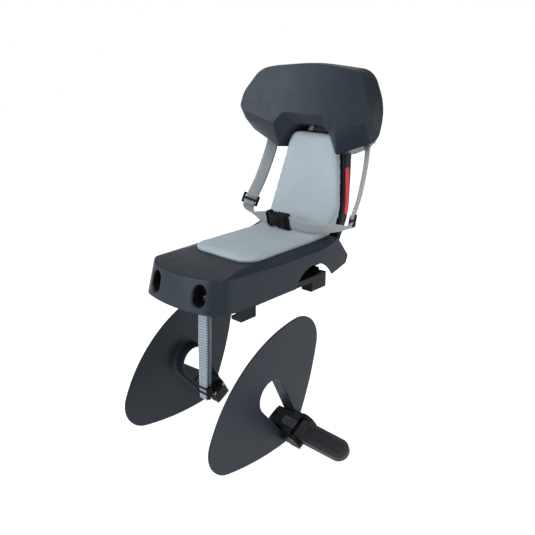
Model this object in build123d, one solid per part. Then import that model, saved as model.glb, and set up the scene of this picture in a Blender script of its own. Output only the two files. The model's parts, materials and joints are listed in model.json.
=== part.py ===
from build123d import *
import os
from math import atan, cos, degrees, radians, sin, tan

os.makedirs("parts", exist_ok=True)

# A junior bicycle seat for a rear carrier. Millimetres, +Z up, the child faces -Y.
# The origin is on the underside of the base, where it rests on the carrier's tubes.

# Seat shell: a hollow moulding, open below. Width and front are those of the crease round its top
SEAT_WIDTH = 211.0
SEAT_FRONT = -196.5
SEAT_REAR = 169.0
SEAT_TOP = 78.0
CREASE_Z = 71.0
CROWN_RUN = 25.0
SKIRT_BOTTOM = 14.0
SIDE_FLARE = 4.5
FRONT_FLARE = 14.0
FRONT_REACH = 60.0
SHELL_WALL = 3.0
FRONT_BOW = 19.0
FRONT_NARROWING = 9.0
REAR_NARROWING = 4.0
FRONT_CORNER_R = 44.0
CREASE_R = 2.0

# Rear fins of the shell, and the arch cut below each side
RISE_START = 58.0
RISE_SINK = 1.0
FIN_TOP_Y = 134.0
FIN_RISE = 4.5
FIN_END_Z = 38.0
FIN_HEEL_DROP = 14.0
FIN_HEEL_IN = 9.0
FIN_TIP_Y = 111.0
FIN_R = 7.0
ARCH_Y = 54.0
ARCH_R = 65.0
ARCH_TOP = 47.5

# Bolt ports in the front fascia
PORT_SPACING = 112.0
PORT_WIDTH = 26.0
PORT_HEIGHT = 38.0
PORT_Z = 43.0
PORT_BEVEL = 2.0
SLEEVE_WALL = 2.0
SLEEVE_GAP = 0.3

# Backrest: the plane behind the cushion, reclined about the X axis
BACK_ANGLE = 11.5
BACK_FOOT_Y = 140.0

# Cushion: one pad from seat to back
CUSHION_FRONT = -97.0
CUSHION_WIDTH = 158.0
CUSHION_PROUD = 8.0
CUSHION_SINK = 3.0
CUSHION_BACK_THICK = 15.0
CUSHION_BEND_R = 76.0
CUSHION_CORNER_R = 36.0
CUSHION_BACK_WIDTH = 168.0
CUSHION_TOP_WIDTH = 118.0
CUSHION_FLARE_H = 122.0
CUSHION_MID_H = 145.0
CUSHION_TOP_H = 277.0
CUSHION_FLARE_R = 90.0
CUSHION_MID_R = 100.0
CUSHION_TOP_R = 27.0
CUSHION_GAP = 0.3

# Back frame: a tray that follows the cushion's outline, with a centre mast
FRAME_WIDTH = 174.0
FRAME_TOP_WIDTH = 140.0
FRAME_TOP_H = 280.5
FRAME_BEND_H = 148.0
FRAME_BEND_R = 150.0
FRAME_TOP_R = 38.0
FRAME_DEPTH = 21.0
FRAME_WALL = 3.5
FRAME_CHAMFER = 3.0
FRAME_GAP = 3.0
PANEL_THICK = 4.0
FOOT_BLOCK_WIDTH = 104.0
FOOT_BLOCK_HEIGHT = 22.0
HEEL_H = 118.0
HEEL_LOW_H = 66.0
HEEL_DEPTH = 6.0
MAST_WIDTH = 34.0
MAST_DEPTH = 14.0
MAST_TOP_H = 384.0
MAST_FOOT_H = 120.0
DETENT_H = 313.5
NOTCH_PITCH = 20.0
NOTCH_COUNT = 4
NOTCH_DEPTH = 3.0
NOTCH_HEIGHT = 7.0
RIB_THICK = 3.0
RIB_DEPTH = 14.0
RIB_COUNT = 4
RIB_LOW_H = 96.0

# Plain trim strips on the posts
TRIM_LENGTH = 94.0
TRIM_WIDTH = 12.0
TRIM_THICK = 0.8
TRIM_H = 171.0
TRIM_DEPTH = 12.0
TRIM_LEAN = 4.5

# Headrest: front shell and back cover meet on one parting plane
HEAD_FACE_D = -75.0
HEAD_MID_D = -54.0
HEAD_PART_D = -30.0
HEAD_BACK_D = 34.0
HEAD_FACE_RADIUS = 594.0
HEAD_FACE_CENTRE_D = -51.0
HEAD_WALL = 3.0
HEAD_GAP = 1.0
HEAD_GUIDE_WALL = 3.0
HEAD_GUIDE_LOW_H = 300.0
HEAD_GUIDE_TOP_H = 372.0
HEAD_JOINT_GAP = 0.2
HEAD_BOSS_R = 5.0
HEAD_SCREW_R = 2.0
HEAD_BOSSES = ((88.0, 372.0), (112.0, 318.0))

# Half outlines of the headrest, (x, height) from the top round to the arch, with corner radii
HEAD_FACE_OUTLINE = (
    (0.0, 397.0), (120.0, 389.0), (154.0, 342.0), (160.0, 306.0), (80.0, 319.0), (71.0, 328.0),
)
HEAD_FACE_RADII = (500.0, 42.0, 55.0, 9.0, 5.0, 6.0)
HEAD_MID_OUTLINE = (
    (0.0, 406.0), (123.0, 396.0), (161.0, 339.0), (166.0, 285.0), (77.0, 281.0), (57.0, 311.0),
)
HEAD_MID_RADII = (500.0, 45.0, 80.0, 20.0, 6.0, 22.0)
HEAD_PART_OUTLINE = (
    (0.0, 413.0), (131.0, 402.0), (168.0, 335.0), (164.0, 274.0), (73.0, 238.0), (42.0, 291.0),
)
HEAD_PART_RADII = (500.0, 48.0, 110.0, 26.0, 6.0, 42.0)
HEAD_REAR_OUTLINE = (
    (0.0, 398.0), (86.0, 389.0), (116.0, 335.0), (112.0, 262.0), (70.0, 243.0), (40.0, 288.0),
)
HEAD_REAR_RADII = (400.0, 42.0, 90.0, 16.0, 6.0, 38.0)

# Detent spring of the headrest
SPRING_THICK = 1.0
SPRING_WIDTH = 16.0
SPRING_BUMP = 2.5
SPRING_GAP = 0.3
SPRING_SEAT = 0.03

# Base under the shell
BASE_WIDTH = 136.0
BASE_TOP = 16.0
BASE_FRONT = -176.0
BASE_DECK_REAR = 121.0
BASE_REAR = 172.0
TOWER_WIDTH = 60.0
TOWER_FRONT = 100.0
BEAM_WIDTH = 110.0
BEAM_FRONT = 140.0
BEAM_BOTTOM = 30.0
BEAM_TOP = 44.0
BULKHEAD_WIDTH = 136.0
BULKHEAD_THICK = 8.0
BULKHEAD_TOP = 63.0
BASE_SKIN = 4.0
BASE_RIB = 5.0
BASE_RIB_ROWS = 4
BOSS_R = 7.0
SCREW_R = 2.0
SCREW_HEAD_R = 4.0
SCREW_HEAD = 3.0
SCREW_GAP = 0.15
HEAD_RECESS = 1.0
SCREW_X = 48.0
SCREW_ROWS = (-66.0, 2.0, 56.0)
SCREW_BITE = 16.0

# Carrier clamps: two rails that slide sideways in the base, each with two jaws
TUBE_R = 7.0
TUBE_SPACING = 128.0
TUBE_GAP = 0.2
JAW_WALL = 9.0
JAW_TIP_ANGLE = 24.0
JAW_LIP = 6.3
JAW_R = 3.0
RAIL_THICK = 8.0
RAIL_BOTTOM = 1.0
TONGUE_THICK = 8.0
TONGUE_FLOOR = 4.0
TONGUE_INNER = 26.0
SLIDE_GAP = 0.4
CLAMP_IN = 10.0
CLAMP_OUT = 8.0
FRONT_JAW_Y = -107.0
FRONT_JAW_LENGTH = 36.0
REAR_JAW_Y = 96.0
REAR_JAW_LENGTH = 44.0
LUG_THICK = 6.0
LUG_GAP = 0.3
LUG_MARGIN = 6.0
ARM_WIDTH = 20.0

# Locking bolts behind the ports
BOLT_R = 3.0
BOLT_HEAD_R = 5.0
BOLT_HEAD = 6.0
BOLT_KEY = 5.0
BOLT_HEAD_DROP = 8.0
BOLT_HOLE_GAP = 0.3
NUT_AF = 10.0
NUT_THICK = 5.0
WASHER_R = 6.0
WASHER_THICK = 1.6
BOLT_TAIL = 2.0
FRAME_BOLT_SPACING = 86.0
FRAME_BOLT_BITE = 16.0

# Safety strap, a loop that hangs under the base
BELT_WIDTH = 20.0
BELT_THICK = 1.6
BELT_Y = -140.0
BELT_PIN_Y = -132.0
BELT_SIDE = 2.0
BELT_GAP = 0.3
BELT_LOW_R = 3.0
BELT_LOW_Z = -196.0
BELT_PIN_R = 4.2
BELT_PIN_Z = 8.0
BELT_PIN_GRIP = 6.0
LOCK_HEIGHT = 24.0
LOCK_WIDTH = 28.0
LOCK_BAR = 3.0
LOCK_DEPTH = 12.0

# Wheel guards
GUARD_X = 118.0
GUARD_WALL = 3.0
GUARD_TOP = (60.5, -44.0)
GUARD_FRONT = (-256.0, -267.0)
GUARD_REAR = (-17.5, -293.0)
GUARD_FRONT_BULGE = 83.0
GUARD_LOW_BULGE = 13.6
GUARD_REAR_BULGE = 15.6
GUARD_TOP_R = 60.0
GUARD_FRONT_R = 58.0
GUARD_REAR_R = 34.0
HOLE_TOP = (-79.5, -177.0)
HOLE_TOP_R = 34.0
HOLE_LOW = (-34.0, -248.0)
HOLE_LOW_R = 24.0
HOLE_COLLAR = 25.0
HOLE_COLLAR_DRAFT = 8.0
COLLAR_ROOT_R = 8.0

# Footrest brackets. Each hooks into the low end of its guard's hole, tilted along the hole's slant
FOOT_TILT = 29.0
BRACKET_GAP = 0.2
BRACKET_NEAR = 31.0
BRACKET_FAR = 27.0
BRACKET_SHOULDER = 16.0
BRACKET_WAIST = 14.0
BRACKET_LOW = 31.0
BRACKET_END_X = 139.5
BRACKET_R = 5.0
NECK_R = 19.0
DECK_HEIGHT = 0.0
DECK_SLOPE = 11.0
HOOK_WIDTH = 40.0
HOOK_TOP = 7.0
HOOK_LOW = 40.0
HOOK_R = 8.0
SERRATION_COUNT = 5
SERRATION_PITCH = 6.0
SERRATION_DEPTH = 3.0

# Clamp on the bicycle's stay, between the bracket's hook and a separate jaw
STAY_R = 8.0
STAY_X = 86.0
STAY_SPLIT = 1.0
JAW_BLOCK_INNER = 73.0
JAW_BLOCK_WIDTH = 36.0
JAW_BLOCK_TOP = -3.0
JAW_BLOCK_CHAMFER = 6.0
BRACKET_SCREW_R = 2.5
BRACKET_SCREW_V = 13.0
BRACKET_SCREW_W = -10.0
BRACKET_SCREW_BITE = 14.0

# Footrests
FOOT_V = -2.0
FOOT_WIDTH = 40.0
HINGE_X = 150.0
HINGE_W = -9.0
FOOT_TIP_X = 258.0
FOOT_PITCH = 5.5
FOOT_TOP = 7.0
FOOT_BOTTOM = 13.0
FOOT_TIP_BOTTOM = 8.0
FOOT_EDGE_R = 3.0
FOOT_WALL = 3.0
FOOT_RIBS = 3
EAR_R = 8.5
EAR_GAP = 0.4
PIN_R = 3.0
PIN_GAP = 0.06
STOP_X = 163.0
STOP_GAP = 0.3
TREAD_START = 16.0
TREAD_LENGTH = 84.0
TREAD_WIDTH = 21.0
TREAD_DEPTH = 3.0
TREAD_THICK = 2.2
TREAD_GAP = 0.2

# Fold-lock blocks in the brackets' decks
LOCK_BLOCK_IN = 9.0
LOCK_BLOCK_OUT = 19.0
LOCK_BLOCK_WIDTH = 17.0
LOCK_BLOCK_HEIGHT = 10.0
LOCK_BLOCK_PROUD = 1.0
LOCK_BLOCK_TRAVEL = 3.0
LOCK_BLOCK_GAP = 0.4
LOCK_GROOVES = 4
LOCK_GROOVE_END = 2.0
LOCK_GROOVE_WIDTH = 1.4
LOCK_GROOVE_DEPTH = 0.8

# Harness webbing and its fittings
WEB_WIDTH = 25.0
WEB_THICK = 1.8
HARNESS_X = 120.0
HARNESS_TOP_Y = 199.0
HARNESS_TOP_Z = 266.0
SLIDER_X = 135.0
SLIDER_Y = 135.0
SLIDER_Z = 122.0
WEB_TURN = 42.0
SLIDER_WIDTH = 33.0
SLIDER_HEIGHT = 22.0
SLIDER_THICK = 4.0
SLIDER_BAR = 3.5
ANCHOR_R = 3.0
ANCHOR_CHEEK = 5.0
ANCHOR_DROP = 40.0
BUCKLE_X = -17.0
BUCKLE_Y = 95.0
BUCKLE_Z = 108.0
BUCKLE_LENGTH = 58.0
BUCKLE_HEIGHT = 34.0
BUCKLE_THICK = 11.0
BUCKLE_SPLIT = 34.0
BUCKLE_R = 6.0
BUCKLE_WALL = 2.0
FITTING_GAP = 0.3

RECLINE = Pos(0, BACK_FOOT_Y, 0) * Rot(-BACK_ANGLE, 0, 0)
BIG = 900.0
OVERCUT = 1.0


def reclined(shape):
    """Move a shape from the backrest's own frame, y deep and z up the back, to the part's frame."""
    return RECLINE * shape


def side_prism(face, half):
    """Extrude a (y, z) outline sideways to both sides of the symmetry plane."""
    return extrude(Plane.YZ * face, amount=half, both=True)


def opposite(shape):
    """The same piece on the other side of the symmetry plane."""
    return mirror(shape, about=Plane.YZ)


def slab(x0, x1, y0, y1, z0, z1):
    """A box between opposite corners."""
    centre = Pos((x0 + x1) / 2, (y0 + y1) / 2, (z0 + z1) / 2)
    return centre * Box(x1 - x0, y1 - y0, z1 - z0)


def along_y(radius, x, z, y0, y1):
    """A cylinder parallel to Y."""
    return Pos(x, (y0 + y1) / 2, z) * Rot(90, 0, 0) * Cylinder(radius, y1 - y0)


def along_x(radius, y, z, x0, x1):
    """A cylinder parallel to X."""
    return Pos((x0 + x1) / 2, y, z) * Rot(0, 90, 0) * Cylinder(radius, x1 - x0)


def along_z(radius, x, y, z0, z1):
    """A cylinder parallel to Z."""
    return Pos(x, y, (z0 + z1) / 2) * Cylinder(radius, z1 - z0)


# Seat shell
def seat_plan(z, inset):
    """Plan outline of the seat at a height, wider below the crease, moved in by an inset."""
    drop = CREASE_Z - z
    half = SEAT_WIDTH / 2 + drop * tan(radians(SIDE_FLARE)) - inset
    nose = SEAT_FRONT - drop * tan(radians(FRONT_FLARE)) + inset
    corner = (half - FRONT_NARROWING, nose + FRONT_BOW)
    heel = (half - REAR_NARROWING, SEAT_REAR + FIN_R)
    middle = (half, (corner[1] + heel[1]) / 2)
    front = ThreePointArc((-corner[0], corner[1]), (0, nose), corner)
    right = ThreePointArc(corner, middle, heel)
    rear = Line(heel, (-heel[0], heel[1]))
    left = ThreePointArc((-heel[0], heel[1]), (-middle[0], middle[1]), (-corner[0], corner[1]))
    plan = make_face([front, right, rear, left])
    return Pos(0, 0, z) * fillet(plan.vertices().sort_by(Axis.Y)[:2], FRONT_CORNER_R)


def fin_top():
    return FIN_TOP_Y, SEAT_TOP + FIN_RISE


def seat_side():
    """Side outline of the seat: drooping nose, rising rear and the fins' slanted end."""
    start = SEAT_FRONT - FRONT_REACH
    nose = (SEAT_FRONT, CREASE_Z)
    flat = (CUSHION_FRONT, SEAT_TOP)
    rise = (RISE_START, SEAT_TOP)
    fin_end = (SEAT_REAR, FIN_END_Z)
    fin_heel = (SEAT_REAR - FIN_HEEL_IN, FIN_END_Z - FIN_HEEL_DROP)
    tip = (FIN_TIP_Y, SKIRT_BOTTOM)
    corners = (fin_top(), fin_end, fin_heel, tip, (start, SKIRT_BOTTOM))
    edges = [
        Line((start, SKIRT_BOTTOM), (start, CREASE_Z)),
        Line((start, CREASE_Z), nose),
        TangentArc(flat, nose, tangent=(-1, 0)),
        Line(flat, rise),
        TangentArc(rise, fin_top(), tangent=(1, 0)),
        FilletPolyline(*corners, radius=(FIN_R, FIN_R, FIN_R / 2)),
    ]
    return make_face(edges)


def crown_cut():
    """What is taken off the top beside the cushion: a slope to the crease that ends at the rising fins."""
    inner = (SEAT_WIDTH / 2 - CROWN_RUN, SEAT_TOP)
    fall = (SEAT_TOP - CREASE_Z) / (SEAT_WIDTH / 2 - inner[0])
    outer = (SEAT_WIDTH, SEAT_TOP - fall * (SEAT_WIDTH - inner[0]))
    slope = make_face(Polyline(inner, outer, (SEAT_WIDTH, BIG), (inner[0], BIG), close=True))
    low = CREASE_Z - RISE_SINK
    ramp = make_face([
        Line((-BIG, low), (RISE_START, low)),
        TangentArc((RISE_START, low), fin_top(), tangent=(1, 0)),
        Line(fin_top(), (FIN_TOP_Y, BIG)),
        Line((FIN_TOP_Y, BIG), (-BIG, BIG)),
        Line((-BIG, BIG), (-BIG, low)),
    ])
    cut = extrude(Plane.XZ * slope, amount=BIG, both=True) & side_prism(ramp, SEAT_WIDTH)
    return cut + opposite(cut)


def seat_block(inset=0.0):
    """The seat's flared sides up to the fins' height, or the same form with its sides moved in."""
    high = SEAT_TOP + FIN_RISE + OVERCUT
    return loft([seat_plan(SKIRT_BOTTOM, inset), seat_plan(high, inset)], ruled=True)


def seat_cavity(wall):
    """The hollow under the seat, open below."""
    side = offset(seat_side(), amount=-wall)
    lowered = Pos(0, -CUSHION_SINK) * side
    dropped = Pos(0, -SKIRT_BOTTOM) * side
    block = seat_block(wall)
    block += Pos(0, 0, -SKIRT_BOTTOM) * block
    cavity = block & side_prism(lowered + dropped, SEAT_WIDTH)
    return cavity - Pos(0, 0, -wall - CUSHION_SINK) * crown_cut()


def port_outline():
    """Oval of a bolt port, in the XZ plane."""
    return Rot(0, 0, 90) * SlotOverall(PORT_HEIGHT, PORT_WIDTH)


def port_prism(x, y0, y1, grow=0.0):
    """An oval prism along Y through a port."""
    oval = offset(port_outline(), amount=grow) if grow else port_outline()
    return extrude(Plane.XZ.offset(-y1) * Pos(x, PORT_Z) * oval, amount=y1 - y0)


def at_port(point):
    """Whether a point lies at the mouth of a port."""
    across = abs(abs(point.X) - PORT_SPACING / 2) < PORT_WIDTH / 2 + OVERCUT
    upright = abs(point.Z - PORT_Z) < PORT_HEIGHT / 2 + OVERCUT
    return across and upright and point.Y < BASE_FRONT


def boss_places():
    """The screws that hold the base to the shell."""
    return [(sx * SCREW_X, y) for sx in (-1, 1) for y in SCREW_ROWS]


def make_seat_shell():
    outer = (seat_block() & side_prism(seat_side(), SEAT_WIDTH)) - crown_cut()
    skin = seat_block(SHELL_WALL / 2)
    crease = outer.edges().filter_by(lambda e: e.position_at(0.5).Z > CREASE_Z - RISE_SINK)
    crease = crease.filter_by(lambda e: e.position_at(0.5).Y < FIN_TOP_Y)
    crease = crease.filter_by(lambda e: not skin.is_inside(e.position_at(0.5)))
    outer = fillet(crease, CREASE_R)
    shell = outer - seat_cavity(SHELL_WALL)
    half = FRAME_WIDTH / 2 + FRAME_GAP
    shell -= reclined(slab(-half, half, -FRAME_GAP, BIG / 2, -BIG / 2, BIG))
    shell -= along_x(ARCH_R, ARCH_Y, ARCH_TOP - ARCH_R, -SEAT_WIDTH, SEAT_WIDTH)
    for x in (-PORT_SPACING / 2, PORT_SPACING / 2):
        shell -= port_prism(x, SEAT_FRONT - FRONT_REACH, BASE_FRONT)
    rims = shell.edges().filter_by(lambda e: at_port(e.position_at(0.5)))
    shell = chamfer(rims.filter_by(lambda e: not skin.is_inside(e.position_at(0.5))), PORT_BEVEL)
    for x, y in boss_places():
        ceiling = SEAT_TOP - CUSHION_SINK - SHELL_WALL / 2
        shell += along_z(BOSS_R, x, y, BASE_TOP, ceiling)
        shell -= along_z(SCREW_R + SCREW_GAP, x, y, BASE_TOP, BASE_TOP + SCREW_BITE + SCREW_HEAD)
    return shell - cushion_solid(CUSHION_GAP)


def make_port_sleeves():
    """Black oval sleeves that line the ports from the fascia to the bulkhead."""
    cavity = seat_cavity(SHELL_WALL + SLEEVE_GAP)
    sleeves = []
    for x in (-PORT_SPACING / 2, PORT_SPACING / 2):
        tube = port_prism(x, SEAT_FRONT - FRONT_REACH, BASE_FRONT, SLEEVE_WALL)
        tube -= port_prism(x, SEAT_FRONT - FRONT_REACH, BASE_FRONT + OVERCUT)
        sleeves.append(tube & cavity)
    return sleeves


# Cushion
def cushion_solid(grow=0.0):
    """The pad as a soft solid: a seat stretch and a back stretch with one bend between them."""
    top = SEAT_TOP + CUSHION_PROUD
    floor = SEAT_TOP - CUSHION_SINK - grow
    slope = tan(radians(BACK_ANGLE))
    lean = 1 / cos(radians(BACK_ANGLE))
    reach = CUSHION_TOP_H + CUSHION_BACK_THICK
    back = (CUSHION_GAP - grow) * lean
    face = (CUSHION_GAP + CUSHION_BACK_THICK) * lean
    start = CUSHION_FRONT - CUSHION_CORNER_R
    line = FilletPolyline(
        (start, top),
        (BACK_FOOT_Y + top * slope - face, top),
        (BACK_FOOT_Y + reach * slope - face, reach),
        (BACK_FOOT_Y + reach * slope - back, reach),
        (BACK_FOOT_Y + floor * slope - back, floor),
        (start, floor),
        radius=(0, CUSHION_BEND_R, 0, 0, CUSHION_BEND_R / 2, 0),
        close=True,
    )
    body = side_prism(make_face(line), CUSHION_WIDTH)
    half = CUSHION_WIDTH / 2 + grow
    front = CUSHION_FRONT - grow
    plan = FilletPolyline(
        (-half, front), (half, front), (half, BIG / 2), (-half, BIG / 2),
        radius=(CUSHION_CORNER_R, CUSHION_CORNER_R, 0, 0), close=True,
    )
    seat_part = extrude(make_face(plan), amount=top + CUSHION_BEND_R / 2)
    wide = CUSHION_BACK_WIDTH / 2 + grow
    high = CUSHION_TOP_WIDTH / 2 + grow
    crown = CUSHION_TOP_H + grow
    right = [(half, top), (wide, CUSHION_FLARE_H), (wide, CUSHION_MID_H), (high, crown)]
    bends = [0, CUSHION_FLARE_R, CUSHION_MID_R, CUSHION_TOP_R]
    outline = FilletPolyline(
        *right, *[(-x, h) for x, h in reversed(right)], radius=bends + bends[::-1], close=True,
    )
    back_part = reclined(extrude(Plane.XZ.offset(-BIG / 4) * make_face(outline), amount=BIG / 2))
    return body & (seat_part + back_part)


# Back frame, in the backrest's own frame
def frame_outline(grow=0.0):
    """Outline of the back frame, (x, height), or the same moved out."""
    low = FRAME_WIDTH / 2 + grow
    high = FRAME_TOP_WIDTH / 2 + grow
    right = [(low, 0), (low, FRAME_BEND_H), (high, FRAME_TOP_H + grow)]
    bends = [0, FRAME_BEND_R, FRAME_TOP_R + grow]
    outline = FilletPolyline(
        *right, *[(-x, h) for x, h in reversed(right)], radius=bends + bends[::-1], close=True,
    )
    return make_face(outline)


def frame_tray(d0, d1, grow=0.0):
    """The frame's outline filled between two depths."""
    return extrude(Plane.XZ.offset(-d1) * frame_outline(grow), amount=d1 - d0)


def mast_prism(grow=0.0, top=MAST_TOP_H):
    half = MAST_WIDTH / 2 + grow
    return slab(-half, half, PANEL_THICK - grow - OVERCUT, PANEL_THICK + MAST_DEPTH + grow, MAST_FOOT_H, top)


def make_back_frame():
    tray = frame_tray(0, FRAME_DEPTH)
    rim = tray.faces().sort_by(Axis.Y)[0].edges().filter_by(lambda e: e.center().Z > OVERCUT)
    tray = chamfer(rim, FRAME_CHAMFER)
    floor = BEAM_TOP + FOOT_BLOCK_HEIGHT
    hollow = frame_tray(PANEL_THICK, FRAME_DEPTH + OVERCUT, -FRAME_WALL)
    tray -= hollow & slab(-BIG, BIG, -BIG, BIG, floor, BIG)
    heel = make_face(Polyline(
        (FRAME_DEPTH + OVERCUT, HEEL_H), (HEEL_DEPTH, HEEL_LOW_H),
        (HEEL_DEPTH, 0), (FRAME_DEPTH + OVERCUT, 0),
        close=True,
    ))
    side = FOOT_BLOCK_WIDTH / 2
    tray -= side_prism(heel, FRAME_WIDTH) - slab(-side, side, -BIG, BIG, -BIG, BIG)
    inside = frame_tray(0, FRAME_DEPTH, -OVERCUT)
    for i in range(RIB_COUNT):
        h = RIB_LOW_H + (FRAME_TOP_H - 2 * FRAME_TOP_R - RIB_LOW_H) * i / (RIB_COUNT - 1)
        depth = PANEL_THICK + RIB_DEPTH
        tray += slab(-FRAME_WIDTH, FRAME_WIDTH, PANEL_THICK - OVERCUT, depth, h, h + RIB_THICK) & inside
    back = PANEL_THICK + MAST_DEPTH
    room = SPRING_WIDTH / 2 + HEAD_GAP
    tray -= slab(-room, room, back, BIG, FRAME_TOP_H - FRAME_TOP_R, BIG)
    mast = mast_prism()
    for i in range(NOTCH_COUNT):
        low = DETENT_H - NOTCH_HEIGHT / 2 + i * NOTCH_PITCH
        mast -= slab(-SPRING_WIDTH, SPRING_WIDTH, back - NOTCH_DEPTH, back + OVERCUT, low, low + NOTCH_HEIGHT)
    frame = reclined(tray + mast)
    frame -= slab(-BIG, BIG, -BIG, BIG, -BIG, BEAM_TOP)
    for x, y in frame_bolt_places():
        frame -= along_z(BOLT_R + BOLT_HOLE_GAP, x, y, BEAM_TOP, BEAM_TOP + FRAME_BOLT_BITE + OVERCUT)
    return frame


def frame_bolt_places():
    """One upright bolt on each side of the frame's foot."""
    y = BACK_FOOT_Y + FRAME_DEPTH / 2 + BEAM_TOP * tan(radians(BACK_ANGLE))
    return [(sx * FRAME_BOLT_SPACING / 2, y) for sx in (-1, 1)]


def make_side_trims():
    """Plain red strips on the outer faces of the frame, bent to its outline."""
    band = frame_tray(0, FRAME_DEPTH, TRIM_THICK) - frame_tray(0, FRAME_DEPTH)
    pill = Rot(0, 0, 90 + TRIM_LEAN) * SlotOverall(TRIM_LENGTH, TRIM_WIDTH)
    strip = reclined(band & extrude(Plane.YZ * Pos(TRIM_DEPTH, TRIM_H) * pill, amount=BIG))
    return [strip, opposite(strip)]


# Headrest, in the backrest's own frame
def head_section(half_points, half_radii, depth, inset=0.0):
    """A closed outline of the headrest on the plane at a given depth."""
    points = list(half_points) + [(-x, h) for x, h in reversed(half_points[1:])]
    radii = list(half_radii) + list(reversed(half_radii[1:]))
    face = make_face(FilletPolyline(*points, radius=radii, close=True))
    if inset:
        face = offset(face, amount=-inset)
    return Plane.XZ.offset(-depth) * face


def head_front(inset=0.0):
    """The front half as a ruled loft, with its face hollowed by a large cylinder."""
    face = head_section(HEAD_FACE_OUTLINE, HEAD_FACE_RADII, HEAD_FACE_D, inset)
    middle = head_section(HEAD_MID_OUTLINE, HEAD_MID_RADII, HEAD_MID_D, inset)
    part = head_section(HEAD_PART_OUTLINE, HEAD_PART_RADII, HEAD_PART_D, inset)
    block = loft([face, middle, part], ruled=True)
    axis_d = HEAD_FACE_CENTRE_D + inset - HEAD_FACE_RADIUS
    return block - Pos(0, axis_d, HEAD_FACE_OUTLINE[2][1]) * Cylinder(HEAD_FACE_RADIUS, BIG)


def head_rear(inset=0.0):
    """The back half as a ruled loft to a smaller rear face."""
    part = head_section(HEAD_PART_OUTLINE, HEAD_PART_RADII, HEAD_PART_D, inset)
    rear = head_section(HEAD_REAR_OUTLINE, HEAD_REAR_RADII, HEAD_BACK_D - inset, inset)
    return loft([part, rear], ruled=True)


def head_clearance():
    """What the headrest leaves free for the back frame, the cushion and the straps."""
    room = frame_tray(-HEAD_GAP, FRAME_DEPTH + HEAD_GAP, HEAD_GAP)
    room += mast_prism(HEAD_GAP, MAST_TOP_H + HEAD_GAP)
    return reclined(room) + cushion_solid(HEAD_GAP) + strap_passages()


def mast_guide():
    """Two cheeks beside the mast, tied to the cover's rear wall, and a bridge in front of it."""
    inner = MAST_WIDTH / 2 + HEAD_GAP
    outer = inner + HEAD_GUIDE_WALL
    front = -HEAD_GUIDE_WALL
    block = slab(-outer, outer, front, HEAD_BACK_D, HEAD_GUIDE_LOW_H, HEAD_GUIDE_TOP_H)
    return block - slab(-inner, inner, PANEL_THICK - HEAD_GAP - OVERCUT, HEAD_BACK_D, 0, BIG)


def head_boss_places():
    return [(sx * x, h) for sx in (-1, 1) for x, h in HEAD_BOSSES]


def make_headrest_shell():
    shell = head_front() - head_front(HEAD_WALL)
    for x, h in head_boss_places():
        depth = HEAD_FACE_CENTRE_D - x * x / (2 * HEAD_FACE_RADIUS) + HEAD_WALL / 2
        shell += along_y(HEAD_BOSS_R, x, h, depth, HEAD_PART_D)
        shell -= along_y(HEAD_SCREW_R + SCREW_GAP, x, h, HEAD_PART_D - SCREW_BITE / 2, HEAD_PART_D + OVERCUT)
    return reclined(shell) - head_clearance()


def make_headrest_back():
    """Back cover with a guide for the mast and screw pillars."""
    solid = head_rear()
    cover = solid - head_rear(HEAD_WALL)
    cover += mast_guide() & solid
    for x, h in head_boss_places():
        pillar = along_y(HEAD_BOSS_R, x, h, HEAD_PART_D + HEAD_JOINT_GAP, HEAD_BACK_D)
        cover += pillar & solid
        end = HEAD_BACK_D + OVERCUT
        cover -= along_y(HEAD_SCREW_R + SCREW_GAP, x, h, HEAD_PART_D - OVERCUT, end)
        cover -= along_y(SCREW_HEAD_R + SCREW_GAP, x, h, head_screw_seat(), end)
    cover -= slab(-BIG, BIG, HEAD_PART_D - OVERCUT, HEAD_PART_D + HEAD_JOINT_GAP, 0, BIG)
    cover = reclined(cover)
    half = anchor_half()
    for x, y, z in anchor_places():
        for s in (-1, 1):
            cheek = x + s * (half - ANCHOR_CHEEK / 2)
            post = slab(
                cheek - ANCHOR_CHEEK / 2, cheek + ANCHOR_CHEEK / 2,
                y - 2 * ANCHOR_R, y + 2 * ANCHOR_R, z - ANCHOR_DROP, z + 2 * ANCHOR_R,
            )
            cover += post & reclined(solid)
        cover -= along_x(ANCHOR_R + SCREW_GAP, y, z, x - half, x + half)
    return cover - head_clearance()


def head_screw_seat():
    return HEAD_PART_D + SCREW_BITE


def make_headrest_screws():
    screws = []
    for x, h in head_boss_places():
        seat = head_screw_seat()
        screw = along_y(HEAD_SCREW_R, x, h, HEAD_PART_D - SCREW_BITE / 2 + OVERCUT, seat)
        screw += along_y(SCREW_HEAD_R, x, h, seat, seat + SCREW_HEAD)
        screws.append(reclined(screw))
    return screws


def make_detent_spring():
    """A bent steel strip in the back cover that clicks into the mast's notches."""
    back = PANEL_THICK + MAST_DEPTH
    wall = HEAD_BACK_D - HEAD_WALL
    arm = NOTCH_PITCH
    tip = back + SPRING_GAP + SPRING_THICK / 2
    path = Polyline(
        (wall - SPRING_THICK / 2, DETENT_H + 2 * arm),
        (wall - SPRING_THICK / 2, DETENT_H + arm),
        (tip + SPRING_BUMP, DETENT_H + NOTCH_HEIGHT / 2),
        (tip, DETENT_H),
        (tip + SPRING_BUMP, DETENT_H - NOTCH_HEIGHT / 2),
    )
    strip = offset(path, amount=SPRING_THICK / 2 - SPRING_SEAT, kind=Kind.INTERSECTION)
    return reclined(side_prism(make_face(strip), SPRING_WIDTH / 2))


# Harness
def anchor_places():
    return [(sx * HARNESS_X, HARNESS_TOP_Y, HARNESS_TOP_Z) for sx in (-1, 1)]


def anchor_half():
    """Half length of a strap anchor: the turned webbing and a cheek on each side."""
    return (WEB_WIDTH * cos(radians(WEB_TURN)) + WEB_THICK) / 2 + ANCHOR_CHEEK


def make_strap_anchors():
    half = anchor_half() - FITTING_GAP
    return [along_x(ANCHOR_R, y, z, x - half, x + half) for x, y, z in anchor_places()]


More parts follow.
